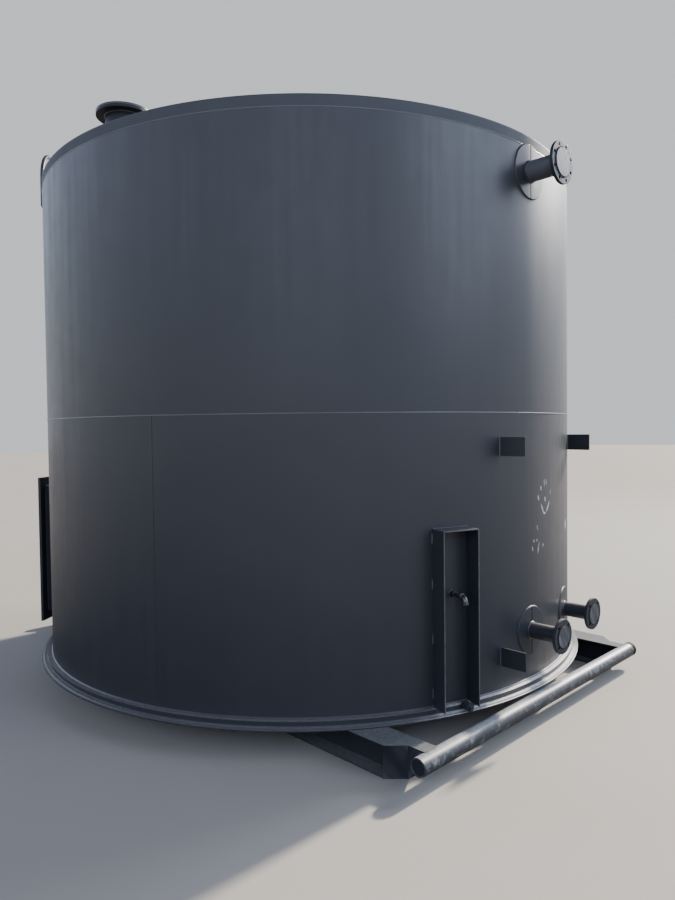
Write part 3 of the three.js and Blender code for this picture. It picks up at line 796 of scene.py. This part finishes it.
lower_course = seam_z - floor_z
upper_course = band_z - seam_z
lower_front = rolled_plate("lower_front", LOWER_SEAMS[0], floor_z, lower_course, printed_enamel)
lower_back = rolled_plate("lower_back", LOWER_SEAMS[1], floor_z, lower_course, shell_enamel)
upper_front = rolled_plate("upper_front", UPPER_SEAMS[1], seam_z, upper_course, shell_enamel)
upper_back = rolled_plate("upper_back", UPPER_SEAMS[0], seam_z, upper_course, shell_enamel)
for plate, label, tools, paint in (
        (lower_front, "lower_shell_front", [neck_hole("outlet_neck"), neck_hole("drain_neck")],
         printed_enamel),
        (lower_back, "lower_shell_back", [cleanout_tool], shell_enamel),
        (upper_front, "upper_shell_front", [neck_hole("inlet_neck")], shell_enamel),
        (upper_back, "upper_shell_back", [], shell_enamel)):
    dress(label + "_plate", carved(plate, tools), paint, "shell_paint", label)

# Painted highlight: the girth and rim beads wear a copy of the paint about twice as light as the
# shell's, dusted near-white on top, for the light line where light catches them.
bead_painted_highlight_enamel = enamel("pale enamel over girth and rim welds, painted highlight", ("575A62", "6C6F76"), gloss=0.34, dust=0.8,
                      soil_tone="E0DCD2")
weld("girth_weld", [run_round(SHELL_RADIUS, seam_z, 1, 0)], bead_painted_highlight_enamel, "shell_paint",
     width=0.0075, crown=0.0028)
seams = []
for azimuths, foot, head in ((LOWER_SEAMS, floor_z, seam_z), (UPPER_SEAMS, seam_z, band_z)):
    for azimuth in azimuths:
        seams.append(run_between(polar(azimuth, SHELL_RADIUS, foot + SEAM_SHORT),
                                 polar(azimuth, SHELL_RADIUS, head - SEAM_SHORT),
                                 polar(azimuth, 1, 0)))
weld("upright_seam_welds", seams, shell_enamel, "shell_paint", width=0.010, crown=0.0022)

# The rim: a thicker strip of plate rolled to a ring and butt welded on top of the upper
# course, flush with it outside. The roof's sheets end on it.
BAND_THICK = 0.0095
trim_enamel = enamel("charcoal enamel on flat bar and fittings", gloss=0.38)
rim_enamel = enamel("charcoal enamel on rim strip", ("3E424A", "464A52"), gloss=0.70, shine=0.42)
band = section(SHELL_RADIUS - BAND_THICK, SHELL_RADIUS, band_z, rim_z)
dress("rim_ring", turned(band, CUT_EDGE, sides=ROUND_SIDES, steps=2), rim_enamel, "fitting_paint",
      "rim_band")
# The rim bead wears the same painted highlight.
weld("rim_weld", [run_round(SHELL_RADIUS, band_z, 1, 0)], bead_painted_highlight_enamel, "fitting_paint",
     width=0.006, crown=0.0016)

# The roof: thin sheets welded into a low cone that lies on the rim, with a lap seam
# on each side of the middle sheet and one slit seam where the cone was drawn closed.
ROOF_PLATE = 0.00476
ROOF_RISE = 0.152
SHEET_HALF = 0.762
SLIT_AZIMUTH = 150
SEAM_INSET = 0.004
HATCH_AZIMUTH = -85.5
HATCH_RADIUS = 1.538
HATCH = {"neck": 0.1095, "wall": 0.00635, "lid": 0.160, "flange": 0.0127, "lid_thick": 0.013,
         "foot": 0.010}

roof_enamel = enamel("charcoal enamel on roof sheets", dust=0.3, splash=0.0)
cone = [(0, rim_z + ROOF_RISE), (SHELL_RADIUS, rim_z), (SHELL_RADIUS, rim_z + ROOF_PLATE),
        (0, rim_z + ROOF_RISE + ROOF_PLATE)]
hatch_spot = polar(HATCH_AZIMUTH, HATCH_RADIUS, rim_z)
hatch_hole = section(0, HATCH["neck"] + GAP, -CUT_OUT, 3 * CUT_OUT)
hatch_tool = turned(hatch_hole, place=Matrix.Translation(hatch_spot), sides=64)
dress("roof_sheets", carved(turned(cone, sides=ROUND_SIDES), [hatch_tool]), roof_enamel,
      "roof_paint", "roof_deck")


def roof_point(x, y):
    radius = hypot(x, y)
    return Vector((x, y, rim_z + ROOF_PLATE + ROOF_RISE * (1 - radius / SHELL_RADIUS)))


def roof_run(start, end, steps=60):
    points = []
    for i in range(steps + 1):
        spot = Vector(start).lerp(Vector(end), i / steps)
        points.append((roof_point(*spot), Vector((0, 0, 1))))
    return points, False


reach = sqrt(SHELL_RADIUS ** 2 - SHEET_HALF ** 2) - SEAM_INSET
slit = polar(SLIT_AZIMUTH, SHELL_RADIUS - SEAM_INSET, 0)
weld("roof_seam_welds", [
    roof_run((SHEET_HALF, -reach), (SHEET_HALF, reach)),
    roof_run((-SHEET_HALF, -reach), (-SHEET_HALF, reach)),
    roof_run((0, 0), slit.xy),
], weld_enamel, "roof_paint", width=0.010, crown=0.0022, depth=0.002)

# The roof hatch: a short pipe neck with a flat ring flange and a bolted flat lid, for gauging
# and venting. The bolts are painted over and screwed into tapped holes in the flange.
HATCH_BOLTS = 8
HATCH_BOLT_CIRCLE = 0.120
HATCH_BOLT_ACROSS = 0.0143
HATCH_EDGE = 0.0016
HATCH_SIDES = 64

hatch_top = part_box("hatch_lid")[1].z
lid_z = hatch_top - HATCH["lid_thick"]
neck_foot = rim_z - HATCH["foot"]
neck_top = lid_z - GAP
flange_z = neck_top - HATCH["flange"]
hatch_place = Matrix.Translation((hatch_spot.x, hatch_spot.y, 0))
bore = HATCH["neck"] - HATCH["wall"]
neck_outline = [(bore, neck_foot), (HATCH["neck"], neck_foot), (HATCH["neck"], flange_z),
                (HATCH["lid"], flange_z), (HATCH["lid"], neck_top), (bore, neck_top)]
lid = section(0, HATCH["lid"], lid_z, hatch_top)
# Painted shade: the hatch neck wears a darker copy of the charcoal with little specular, for the shade
# under the lid.
hatch_enamel = enamel("charcoal enamel painted darker on hatch pipe", ("1E2128", "262930"), gloss=0.50,
                      shine=0.25)
dress("hatch_pipe_neck", turned(neck_outline, HATCH_EDGE, hatch_place), hatch_enamel,
      "fitting_paint", "hatch_neck")
dress("hatch_flat_lid", turned(lid, HATCH_EDGE, hatch_place), trim_enamel, "fitting_paint",
      "hatch_lid")
neck_foot_run, flange_run = [], []
for a in turns(HATCH_SIDES):
    side = Vector((cos(a), sin(a), 0))
    spot = hatch_spot + side * HATCH["neck"]
    neck_foot_run.append((roof_point(spot.x, spot.y), side + Vector((0, 0, 1))))
    flange_run.append((Vector((spot.x, spot.y, flange_z)), side - Vector((0, 0, 1))))
fillet("hatch_welds", [(neck_foot_run, True), (flange_run, True)], weld_enamel, "fitting_paint",
       leg=0.006)


def bolt_tree():
    """A hex head on a washer above each point."""
    tree, given, result = new_tree("hex bolts", {
        "Points": "Geometry", "Across": "Float", "Head": "Float", "Washer": "Float",
        "Paint": "Material",
    })
    maths = partial(math_node, tree)

    def shifted(geometry, height):
        offset = add(tree, "ShaderNodeCombineXYZ", {"Z": height})
        return add(tree, "GeometryNodeTransform", {"Geometry": geometry, "Translation": offset})

    corner = maths("DIVIDE", given["Across"], sqrt(3))
    rim = maths("MULTIPLY", corner, 0.80)
    thin = maths("MULTIPLY", given["Across"], 0.06)
    hexagon = {"Vertices": 6, "Fill Segments": 1}
    head = add(tree, "GeometryNodeMeshCylinder", {
        **hexagon, "Radius": corner, "Depth": maths("MULTIPLY", given["Head"], 0.8)})
    crown = add(tree, "GeometryNodeMeshCone", {
        **hexagon, "Radius Bottom": corner, "Radius Top": rim,
        "Depth": maths("MULTIPLY", given["Head"], 0.2)})
    washer = add(tree, "GeometryNodeMeshCylinder", {
        "Vertices": 20, "Radius": given["Washer"], "Depth": thin})
    pieces = [
        shifted(washer, maths("MULTIPLY", thin, 0.5)),
        shifted(head, maths("ADD", thin, maths("MULTIPLY", given["Head"], 0.4))),
        shifted(crown, maths("ADD", thin, maths("MULTIPLY", given["Head"], 0.8))),
    ]
    bolt = add(tree, "GeometryNodeJoinGeometry", {"Geometry": pieces})
    outward = add(tree, "GeometryNodeInputNamedAttribute", {"Name": "outward"},
                  data_type="FLOAT_VECTOR")
    chance = add(tree, "FunctionNodeRandomValue", {"Max": pi / 3, "Seed": 7})
    spin = add(tree, "ShaderNodeCombineXYZ", {"Z": chance})
    aimed = add(tree, "FunctionNodeAlignRotationToVector", {"Vector": outward}, axis="Z")
    turned_bolt = add(tree, "FunctionNodeRotateRotation", {
        "Rotation": aimed, "Rotate By": spin}, rotation_space="LOCAL")
    placed = add(tree, "GeometryNodeInstanceOnPoints", {
        "Points": given["Points"], "Instance": bolt, "Rotation": turned_bolt})
    return end_in_paint(tree, placed, given, result)


BOLT = bolt_tree()


def bolts(name, spots, outward, across, paint, slot):
    points = bpy.data.meshes.new(name)
    points.from_pydata(spots, [], [])
    aims = [value for _ in spots for value in outward]
    points.attributes.new("outward", "FLOAT_VECTOR", "POINT").data.foreach_set("vector", aims)
    values = {"Across": across, "Head": 0.65 * across, "Washer": 0.95 * across, "Paint": paint}
    return dress(name, grown(name, points, BOLT, values), paint, slot)


hatch_bolt_spots = []
for a in turns(HATCH_BOLTS, 0.5):
    side = Vector((cos(a), sin(a), 0)) * HATCH_BOLT_CIRCLE
    hatch_bolt_spots.append(Vector((hatch_spot.x, hatch_spot.y, hatch_top)) + side)
bolts("hatch_bolts", hatch_bolt_spots, Vector((0, 0, 1)), HATCH_BOLT_ACROSS, trim_enamel,
      "fitting_paint")

# The nozzles: a pipe neck through the shell, a two-piece reinforcing pad rolled to the shell's
# curve, and a slip-on raised-face flange. A thin round blank covers each flange face, and the
# bolt holes stand open.
THREE_INCH = {"pipe": 0.04445, "wall": 0.00549, "flange": 0.09525, "face": 0.0635, "hub": 0.054,
              "hub_length": 0.030, "circle": 0.0762, "bolts": 4, "pad": 0.133}
FOUR_INCH = {"pipe": 0.05715, "wall": 0.00602, "flange": 0.1143, "face": 0.0786, "hub": 0.0675,
             "hub_length": 0.033, "circle": 0.09525, "bolts": 8, "pad": 0.147}
NOZZLES = {"inlet": FOUR_INCH, "outlet": THREE_INCH, "drain": THREE_INCH}
NOZZLE_REACH = 0.200
FLANGE_THICK = 0.0174
RAISED_FACE = 0.0016
BLANK_THICK = 0.003
BOLT_HOLE = 0.0095
PAD_THICK = 0.00635
PAD_SPLIT = 0.003
GASKET_THICK = 0.001
GASKET_EDGE = 0.0003
HUB_TAPER = 0.002
EDGE_STEP = 0.003
NECK_EDGE = 0.001
FORGED_EDGE = 0.0015
DRILL_PAST = 0.01

nozzle_enamel = enamel("charcoal enamel on pipe necks", gloss=0.36, dust=0.25)
flange_enamel = enamel("charcoal enamel on forged flanges", ("2A2D33", "33363D"), gloss=0.46,
                       dust=0.25, shine=0.3)
pad_enamel = enamel("charcoal enamel on split pads", gloss=0.42, dust=0.1, shine=0.4)
# Painted light: the inlet neck, high on the tank where less light bounces up from the floor, gets a
# lighter copy of the neck paint.
inlet_neck_painted_light_enamel = enamel("enamel painted lighter on the inlet neck", ("565A62", "62666E"), gloss=0.44,
                     dust=0.25)
# Painted shade: a near-black gasket, 3 mm wider than the raised face, with the blank 3 mm narrower,
# draws a dark ring round each blank for the shade there.
gasket_fibre_painted_shade = enamel("near-black gasket fibre, painted shade", ("101113", "17181A"), gloss=0.8, dust=0.0,
                      splash=0.0)


def scratches(tree, place, maths):
    """Slanting scratches on the faces of the sheet blanks."""
    drawn = add(tree, "ShaderNodeMapping", {
        "Vector": place, "Rotation": (radians(32), 0, 0), "Scale": (1.0, 0.020, 0.16)},
        vector_type="TEXTURE")
    lines = add(tree, "ShaderNodeTexNoise", {"Vector": drawn, "Scale": 1.0, "Detail": 3.0})
    return maths("MULTIPLY", maths("SUBTRACT", lines, 0.47, True), 3.4, True)


blank_enamel = enamel("scuffed enamel on sheet blanks", ("3A3D42", "46494E"), gloss=0.42,
                      shine=0.38, marks=scratches, mark_tone="76797E")


def flange_mesh(size, place):
    front = NOZZLE_REACH - RAISED_FACE
    back = front - FLANGE_THICK
    hole = size["pipe"] + GAP
    hub_end = NOZZLE_REACH - size["hub_length"]
    outline = [(hole, hub_end), (size["hub"], hub_end), (size["hub"] + HUB_TAPER, back),
               (size["flange"], back), (size["flange"], front), (size["face"], front),
               (size["face"], NOZZLE_REACH), (hole, NOZZLE_REACH)]
    drill = section(0, BOLT_HOLE, back - DRILL_PAST, NOZZLE_REACH + DRILL_PAST)
    tools = []
    for a in turns(size["bolts"], 0.5):
        spot = Matrix.Translation((size["circle"] * cos(a), size["circle"] * sin(a), 0))
        tools.append(turned(drill, place=place @ spot, sides=24))
    return carved(turned(outline, FORGED_EDGE, place), tools)


def on_neck(side, height, radius, turn, depth):
    """A point of a nozzle's circle, carried along +X to this distance from the tank's axis."""
    y = side + radius * sin(turn)
    return Vector((root_x(y, depth), y, height + radius * cos(turn)))


def on_pad(side, height, radius, turn, depth):
    """A point of a circle bent to the shell's curve round the nozzle's root."""
    bearing = asin(side / SHELL_RADIUS) + asin(radius * sin(turn) / depth)
    return Vector((depth * cos(bearing), depth * sin(bearing), height + radius * cos(turn)))


def pad_half(size, side, height, half):
    """Half of a round pad, bent to the shell, on one side of its upright split line."""
    inner = SHELL_RADIUS + GAP
    steps = 40
    bm = bmesh.new()
    columns = []
    for i in range(steps + 1):
        column = []
        for bent, radius in ((on_neck, size["pipe"] + GAP), (on_pad, size["pad"])):
            start = asin(PAD_SPLIT / radius)
            turn = half * (start + (pi - 2 * start) * i / steps)
            column += [bm.verts.new(bent(side, height, radius, turn, inner + deep))
                       for deep in (0, PAD_THICK)]
        columns.append(column)
    for first, second in zip(columns, columns[1:]):
        for a, b in ((0, 1), (1, 3), (3, 2), (2, 0)):
            bm.faces.new((first[a], first[b], second[b], second[a]))
    for column in (columns[0], columns[-1]):
        bm.faces.new((column[0], column[1], column[3], column[2]))
    bmesh.ops.recalc_face_normals(bm, faces=bm.faces)
    rims = [e for e in bm.edges if e.calc_face_angle(0) > SHARP]
    bmesh.ops.bevel(bm, geom=rims, offset=CUT_EDGE, segments=2, profile=0.5, affect="EDGES")
    return as_mesh(bm)


def joined(parts):
    bm = bmesh.new()
    for part in parts:
        bm.from_mesh(part)
    return as_mesh(bm)


def nozzle_run(bent, side, height, radius, depth, steps=72):
    """A run round a nozzle where it stands on the shell or its pad, facing out of the corner."""
    points = []
    for turn in turns(steps):
        place = bent(side, height, radius, turn, depth)
        out = Vector((place.x, place.y, 0)).normalized()
        away = Vector((0, sin(turn), cos(turn)))
        points.append((place, out + away))
    return points, True


for label, size in NOZZLES.items():
    low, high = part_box(label + "_neck")
    side, height = (low.y + high.y) / 2, (low.z + high.z) / 2
    place = along_x(side, height)
    start = low.x - root_x(side)
    end = high.x - root_x(side)
    neck = section(size["pipe"] - size["wall"], size["pipe"], start, end)
    gasket_back = NOZZLE_REACH + GAP
    gasket_front = gasket_back + GASKET_THICK
    # The gasket's dark rim round the blank is painted shade.
    gasket = section(0, size["face"] + EDGE_STEP, gasket_back, gasket_front)
    blank = section(0, size["face"] - EDGE_STEP, gasket_front, gasket_back + BLANK_THICK)
    pad = joined([pad_half(size, side, height, half) for half in (-1, 1)])
    dress(label + "_split_pad", pad, pad_enamel, "nozzle_paint", label + "_pad")
    dress(label + "_pipe_neck", turned(neck, NECK_EDGE, place),
          inlet_neck_painted_light_enamel if label == "inlet" else nozzle_enamel, "nozzle_paint", label + "_neck")
    dress(label + "_slip_on_flange", flange_mesh(size, place), flange_enamel, "nozzle_paint",
          label + "_flange")
    dress(label + "_gasket", turned(gasket, GASKET_EDGE, place), gasket_fibre_painted_shade, None)
    dress(label + "_sheet_blank", turned(blank, CUT_EDGE, place), blank_enamel, "nozzle_paint",
          label + "_blank")
    pad_face = SHELL_RADIUS + GAP + PAD_THICK
    fillet(label + "_neck_weld", [nozzle_run(on_neck, side, height, size["pipe"], pad_face)],
           nozzle_enamel, "nozzle_paint", leg=0.006)
    fillet(label + "_pad_weld", [nozzle_run(on_pad, side, height, size["pad"], SHELL_RADIUS)],
           pad_enamel, "nozzle_paint", leg=0.0055)

# The cleanout: a rectangular frame of plate let through the shell at its foot, with a flange
# welded round it and a flat cover plate held by bolts all round.
BOLT_PITCH = 0.115
COVER_BOLT_ACROSS = 0.0238
COVER_EDGE = 0.0012

for node, name in (("cleanout_frame", "cleanout_welded_frame"),
                   ("cleanout_cover", "cleanout_cover_plate")):
    dress(name, softened(node, COVER_EDGE), trim_enamel, "fitting_paint", node)
line_y = CLEANOUT["half_width"] + CLEANOUT["border"] / 2
line_z = CLEANOUT["half_height"] + CLEANOUT["border"] / 2
cover_face = SHELL_RADIUS + CLEANOUT["reach"]
cover_spots = []
for half, other, upright in ((line_y, line_z, False), (line_z, line_y, True)):
    count = round(2 * half / BOLT_PITCH)
    for i in range(count):
        step = -half + 2 * half * i / count
        for sign in (-1, 1):
            y, z = (sign * -other, step * sign) if upright else (step * sign, sign * other)
            cover_spots.append(cleanout_place @ Vector((cover_face, y, z)))
bolts("cleanout_bolts", cover_spots, polar(CLEANOUT_AZIMUTH, 1, 0), COVER_BOLT_ACROSS,
      trim_enamel, "fitting_paint")


def frame_run(half_y, half_z, x_of, side_out):
    """A closed run round the frame, facing out of the shell and away from the frame."""
    corners = [(-half_y, -half_z), (half_y, -half_z), (half_y, half_z), (-half_y, half_z)]
    points = []
    for k, (y0, z0) in enumerate(corners):
        y1, z1 = corners[(k + 1) % 4]
        for i in range(20):
            y, z = y0 + (y1 - y0) * i / 20, z0 + (z1 - z0) * i / 20
            away = Vector((0, (y0 + y1) / 2, (z0 + z1) / 2)).normalized()
            outward = Vector((side_out, 0, 0)) + away
            points.append((cleanout_place @ Vector((x_of(y), y, z)),
                           cleanout_place.to_3x3() @ outward))
    return points, True


outer_y = CLEANOUT["half_width"] + CLEANOUT["neck"]
outer_z = CLEANOUT["half_height"] + CLEANOUT["neck"]
flange_back = cover_face - 2 * CLEANOUT["plate"] - GAP
fillet("cleanout_welds", [
    frame_run(outer_y, outer_z, root_x, 1),
    frame_run(outer_y, outer_z, lambda y: flange_back, -1),
], weld_enamel, "fitting_paint", leg=0.008)

# The gauge guard: two upright plates and a top plate round the gauge cock, open at the front
# and the foot. The uprights are stitch welded to the shell with two-inch stitches.
GUARD = {"azimuth": -19.7, "half": 0.1075, "depth": 0.1016, "plate": 0.00635, "edge": 0.0014}
STITCH = 0.050
STITCH_HEIGHTS = (0.265, 0.545, 0.828, 1.062)
HIGHLIT_EDGE_DEPTH = 0.003


def front_edge_highlights(tree, place, maths):
    """A painted highlight: the guard's front edges painted pale, where light catches them."""
    spot = add(tree, "ShaderNodeSeparateXYZ", {"Vector": place}).outputs
    patchy = add(tree, "ShaderNodeTexNoise", {"Vector": place, "Scale": 1 / 0.05})
    turn = radians(GUARD["azimuth"])
    forward = maths("ADD", maths("MULTIPLY", spot["X"], cos(turn)),
                    maths("MULTIPLY", spot["Y"], sin(turn)))
    front = maths("SUBTRACT", forward, SHELL_RADIUS + GUARD["depth"] - HIGHLIT_EDGE_DEPTH)
    return maths("MULTIPLY", maths("MULTIPLY", front, 300.0, True),
                 maths("MULTIPLY", patchy, 0.3))


# The marks are a painted highlight along the guard's front edges.
guard_enamel = enamel("charcoal enamel on guard plates", gloss=0.38, marks=front_edge_highlights)
for node in ("guard_side_left", "guard_side_right", "guard_top"):
    dress(node + "_plate", softened(node, GUARD["edge"]), guard_enamel, "fitting_paint", node)
guard_turn = Matrix.Rotation(radians(GUARD["azimuth"]), 4, "Z")
stitch_runs = []
for side in (-1, 1):
    y = side * GUARD["half"]
    for height in STITCH_HEIGHTS:
        stitch_runs.append(run_between(guard_turn @ Vector((root_x(y), y, height - STITCH / 2)),
                                       guard_turn @ Vector((root_x(y), y, height + STITCH / 2)),
                                       guard_turn @ Vector((1, side, 0))))
guard_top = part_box("guard_top")[1].z
top_points = []
for i in range(13):
    y = GUARD["half"] * (i / 6 - 1)
    top_points.append((guard_turn @ Vector((root_x(y), y, guard_top)),
                       guard_turn @ Vector((1, 0, 1))))
stitch_runs.append((top_points, False))
fillet("guard_welds", stitch_runs, weld_enamel, "fitting_paint", leg=0.006)
lap_z = guard_top - GUARD["plate"]
lap_runs = []
for side in (-1, 1):
    y = side * (GUARD["half"] - GUARD["plate"])
    lap_runs.append(run_between(guard_turn @ Vector((SHELL_RADIUS + 0.004, y, lap_z)),
                                guard_turn @ Vector((SHELL_RADIUS + GUARD["depth"] - 0.005, y, lap_z)),
                                guard_turn @ Vector((0, -side, -1))))
fillet("guard_top_welds", lap_runs, weld_enamel, "fitting_paint", leg=0.004)

# The gauge cock: a painted half coupling welded to the shell, a short nipple and a galvanised
# malleable elbow with banded ends that looks down. The zinc is bright and lightly spangled.
COCK_AZIMUTH = -19.5
COCK_Z = floor_z + 0.575
COUPLING = {"radius": 0.0165, "length": 0.032}
COUPLING_RECESS = 0.004
COCK_GAP = 0.0004
NIPPLE_RADIUS = 0.0107
FITTING_SIDES = 32
ELBOW = {"reach": 0.118, "radius": 0.0140, "band": 0.0172, "band_length": 0.011, "drop": 0.034}


def galvanised(name):
    material, tree = new_material(name)
    place = add(tree, "ShaderNodeTexCoord").outputs["Object"]
    spangle = add(tree, "ShaderNodeTexVoronoi", {"Vector": place, "Scale": 1 / 0.006})
    tone = add(tree, "ShaderNodeValToRGB", {"Fac": spangle})
    tone.color_ramp.elements[0].color = srgb("46494B")
    tone.color_ramp.elements[1].color = srgb("727576")
    grain = add(tree, "ShaderNodeTexNoise", {"Vector": place, "Scale": 1 / 0.002})
    bump = add(tree, "ShaderNodeBump", {"Height": grain, "Strength": 0.3, "Distance": 0.0003})
    rough = add(tree, "ShaderNodeMapRange", {"Value": grain, "To Min": 0.32, "To Max": 0.5})
    shader = add(tree, "ShaderNodeBsdfPrincipled", {
        "Base Color": tone, "Roughness": rough, "Metallic": 0.9, "Normal": bump})
    add(tree, "ShaderNodeOutputMaterial", {"Surface": shader})
    return material


zinc = galvanised("galvanised malleable iron")
cock_place = outward_station(COCK_AZIMUTH, COCK_Z)
foot = SHELL_RADIUS + COCK_GAP
mouth = foot + COUPLING["length"]
recess = mouth - COUPLING_RECESS
coupling = [(0, foot), (COUPLING["radius"], foot), (COUPLING["radius"], mouth),
            (NIPPLE_RADIUS, mouth), (NIPPLE_RADIUS, recess), (0, recess)]
dress("cock_half_coupling", turned(coupling, NECK_EDGE, cock_place, FITTING_SIDES), trim_enamel,
      "fitting_paint", "gauge_cock")
collar_start = SHELL_RADIUS + ELBOW["reach"] - ELBOW["drop"]
nipple = section(0, NIPPLE_RADIUS - GAP, recess + COCK_GAP, collar_start + COUPLING_RECESS)
dress("cock_nipple", turned(nipple, place=cock_place, sides=FITTING_SIDES), trim_enamel,
      "fitting_paint")


def elbow_mesh():
    """A quarter bend with a thicker band at each end, open at its lower mouth."""
    bm = bmesh.new()
    sides = 28
    soft = 0.001
    end = ELBOW["band_length"]
    bend = ELBOW["drop"] - end
    stations = []
    for x, radius in ((0, ELBOW["band"] - soft), (soft, ELBOW["band"]),
                      (end - soft, ELBOW["band"]), (end, ELBOW["radius"])):
        stations.append((Vector((collar_start + x, 0, 0)), Vector((1, 0, 0)), radius))
    hinge = Vector((collar_start + end, 0, -bend))
    for i in range(1, 12):
        a = radians(90 * i / 12)
        stations.append((hinge + bend * Vector((sin(a), 0, cos(a))), Vector((cos(a), 0, -sin(a))),
                         ELBOW["radius"]))
    foot_x = hinge.x + bend
    for z, radius in ((0, ELBOW["radius"]), (-soft, ELBOW["band"]), (soft - end, ELBOW["band"]),
                      (-end, ELBOW["band"] - soft), (-end, NIPPLE_RADIUS),
                      (-2 * soft, NIPPLE_RADIUS)):
        stations.append((Vector((foot_x, 0, -bend + z)), Vector((0, 0, -1)), radius))
    rings = []
    for centre, axis, radius in stations:
        side = Vector((0, 1, 0))
        up = side.cross(axis)
        rings.append([bm.verts.new(centre + radius * (side * cos(t) + up * sin(t)))
                      for t in turns(sides)])
    for first, second in zip(rings, rings[1:]):
        for j in range(sides):
            bm.faces.new((first[j], first[(j + 1) % sides], second[(j + 1) % sides], second[j]))
    bm.faces.new(rings[0])
    bm.faces.new(rings[-1])
    bm.transform(Matrix.Translation((0, 0, COCK_Z))
                 @ Matrix.Rotation(radians(COCK_AZIMUTH), 4, "Z"))
    return as_mesh(bm)


dress("cock_elbow", elbow_mesh(), zinc, "galvanised")
cock_side = SHELL_RADIUS * sin(radians(COCK_AZIMUTH))
cock_run = nozzle_run(on_pad, cock_side, COCK_Z, COUPLING["radius"], SHELL_RADIUS, FITTING_SIDES)
fillet("cock_weld", [cock_run], weld_enamel, "fitting_paint", leg=0.004)

# Plate clips: three plain upright plates welded edge-on to the shell, for pipe brackets. They
# stand parallel to the nozzles.
clip_runs = []
for node in ("clip_lower_left", "clip_upper_left", "clip_upper_right"):
    dress(node + "_plate", softened(node, CUT_EDGE), trim_enamel, "fitting_paint", node)
    low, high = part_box(node)
    for y, face in ((low.y, -1), (high.y, 1)):
        clip_runs.append(run_between((root_x(y), y, low.z), (root_x(y), y, high.z),
                                     (root_x(y) / SHELL_RADIUS, face + y / SHELL_RADIUS, 0)))
fillet("clip_welds", clip_runs, weld_enamel, "fitting_paint", leg=0.006)

# The leak port: a half coupling lying on the lower floor against the upper one, closed with a
# square-headed plug. A drip there shows that the upper floor has a leak.
LEAK_AZIMUTH = -17.9
PORT = {"radius": 0.022, "length": 0.052, "bore": 0.0165, "recess": 0.003, "plug": 0.0158,
        "plug_sunk": 0.0028, "plug_proud": 0.0025, "head": 0.0095, "head_foot": 0.002,
        "head_top": 0.012}
leak_start = UPPER_BOTTOM_RADIUS + GAP
leak_end = leak_start + PORT["length"]
leak_place = outward_station(LEAK_AZIMUTH, lower_floor_top + PORT["radius"] + GAP)
port = [(0, leak_start), (PORT["radius"], leak_start), (PORT["radius"], leak_end),
        (PORT["bore"], leak_end), (PORT["bore"], leak_end - PORT["recess"]),
        (0, leak_end - PORT["recess"])]
plug = section(0, PORT["plug"], leak_end - PORT["plug_sunk"], leak_end + PORT["plug_proud"])
head = block((-PORT["head"], -PORT["head"], leak_end + PORT["head_foot"]),
             (PORT["head"], PORT["head"], leak_end + PORT["head_top"]), leak_place)
dress("leak_port_fitting", joined([
    turned(port, PIPE_EDGE, leak_place, FITTING_SIDES),
    turned(plug, CUT_EDGE, leak_place, FITTING_SIDES), head,
]), trim_enamel, "bottom_paint", "leak_port")

# The grab hoop: a round bar bent to an upside-down U that stands above the rim. Its legs
# stand off the shell and its feet are turned in to it and welded.
HOOP = {"azimuth": -127.8, "bar": 0.0127, "radius": 0.210, "standoff": 0.010, "rise": 0.128,
        "foot": -0.086, "foot_bend": 0.022, "foot_sunk": 0.004, "step": 0.006}


def bar_tree():
    tree, given, result = new_tree("round bar", {
        "Path": "Geometry", "Radius": "Float", "Step": "Float", "Paint": "Material"})
    curve = add(tree, "GeometryNodeMeshToCurve", {"Mesh": given["Path"]})
    even = add(tree, "GeometryNodeResampleCurve", {"Curve": curve, "Length": given["Step"]},
               mode="LENGTH")
    circle = add(tree, "GeometryNodeCurvePrimitiveCircle", {
        "Resolution": 28, "Radius": given["Radius"]})
    solid = add(tree, "GeometryNodeCurveToMesh", {
        "Curve": even, "Profile Curve": circle, "Fill Caps": True})
    return end_in_paint(tree, solid, given, result)


hoop_turn = Matrix.Rotation(radians(HOOP["azimuth"]), 4, "Z")
leg_x = root_x(HOOP["radius"], SHELL_RADIUS + HOOP["standoff"] + HOOP["bar"])
hoop_path = []
BEND_STEPS = 6
BOW_STEPS = 32


def hoop_point(x, y, z):
    hoop_path.append(hoop_turn @ Vector((x, y, rim_z + z)))


def hoop_foot(side, steps):
    """The quarter bend between a leg and its foot, in the order that the bar runs."""
    for i in steps:
        a = radians(90 * i / BEND_STEPS)
        hoop_point(leg_x - HOOP["foot_bend"] * (1 - sin(a)), side * HOOP["radius"],
                   foot_z + HOOP["foot_bend"] * (1 - cos(a)))


foot_x = root_x(HOOP["radius"]) + HOOP["foot_sunk"]
foot_z = HOOP["foot"] + HOOP["bar"]
hoop_point(foot_x, HOOP["radius"], foot_z)
hoop_foot(1, range(BEND_STEPS + 1))
for i in range(BOW_STEPS + 1):
    a = pi * i / BOW_STEPS
    hoop_point(leg_x, HOOP["radius"] * cos(a), HOOP["rise"] + HOOP["radius"] * sin(a))
hoop_foot(-1, range(BEND_STEPS, -1, -1))
hoop_point(foot_x, -HOOP["radius"], foot_z)
hoop_line = bpy.data.meshes.new("hoop")
hoop_line.from_pydata(hoop_path, [(i, i + 1) for i in range(len(hoop_path) - 1)], [])
hoop_sizes = {"Radius": HOOP["bar"], "Step": HOOP["step"], "Paint": trim_enamel}
dress("grab_hoop_bar", grown("hoop", hoop_line, bar_tree(), hoop_sizes), trim_enamel,
      "fitting_paint", "grab_hoop")
hoop_runs = []
for side in (-1, 1):
    ring = []
    for a in turns(32):
        y = side * HOOP["radius"] + HOOP["bar"] * sin(a)
        z = rim_z + foot_z + HOOP["bar"] * cos(a)
        ring.append((hoop_turn @ Vector((root_x(y), y, z)),
                     hoop_turn @ Vector((1, sin(a), cos(a)))))
    hoop_runs.append((ring, True))
fillet("hoop_welds", hoop_runs, weld_enamel, "fitting_paint", leg=0.005)
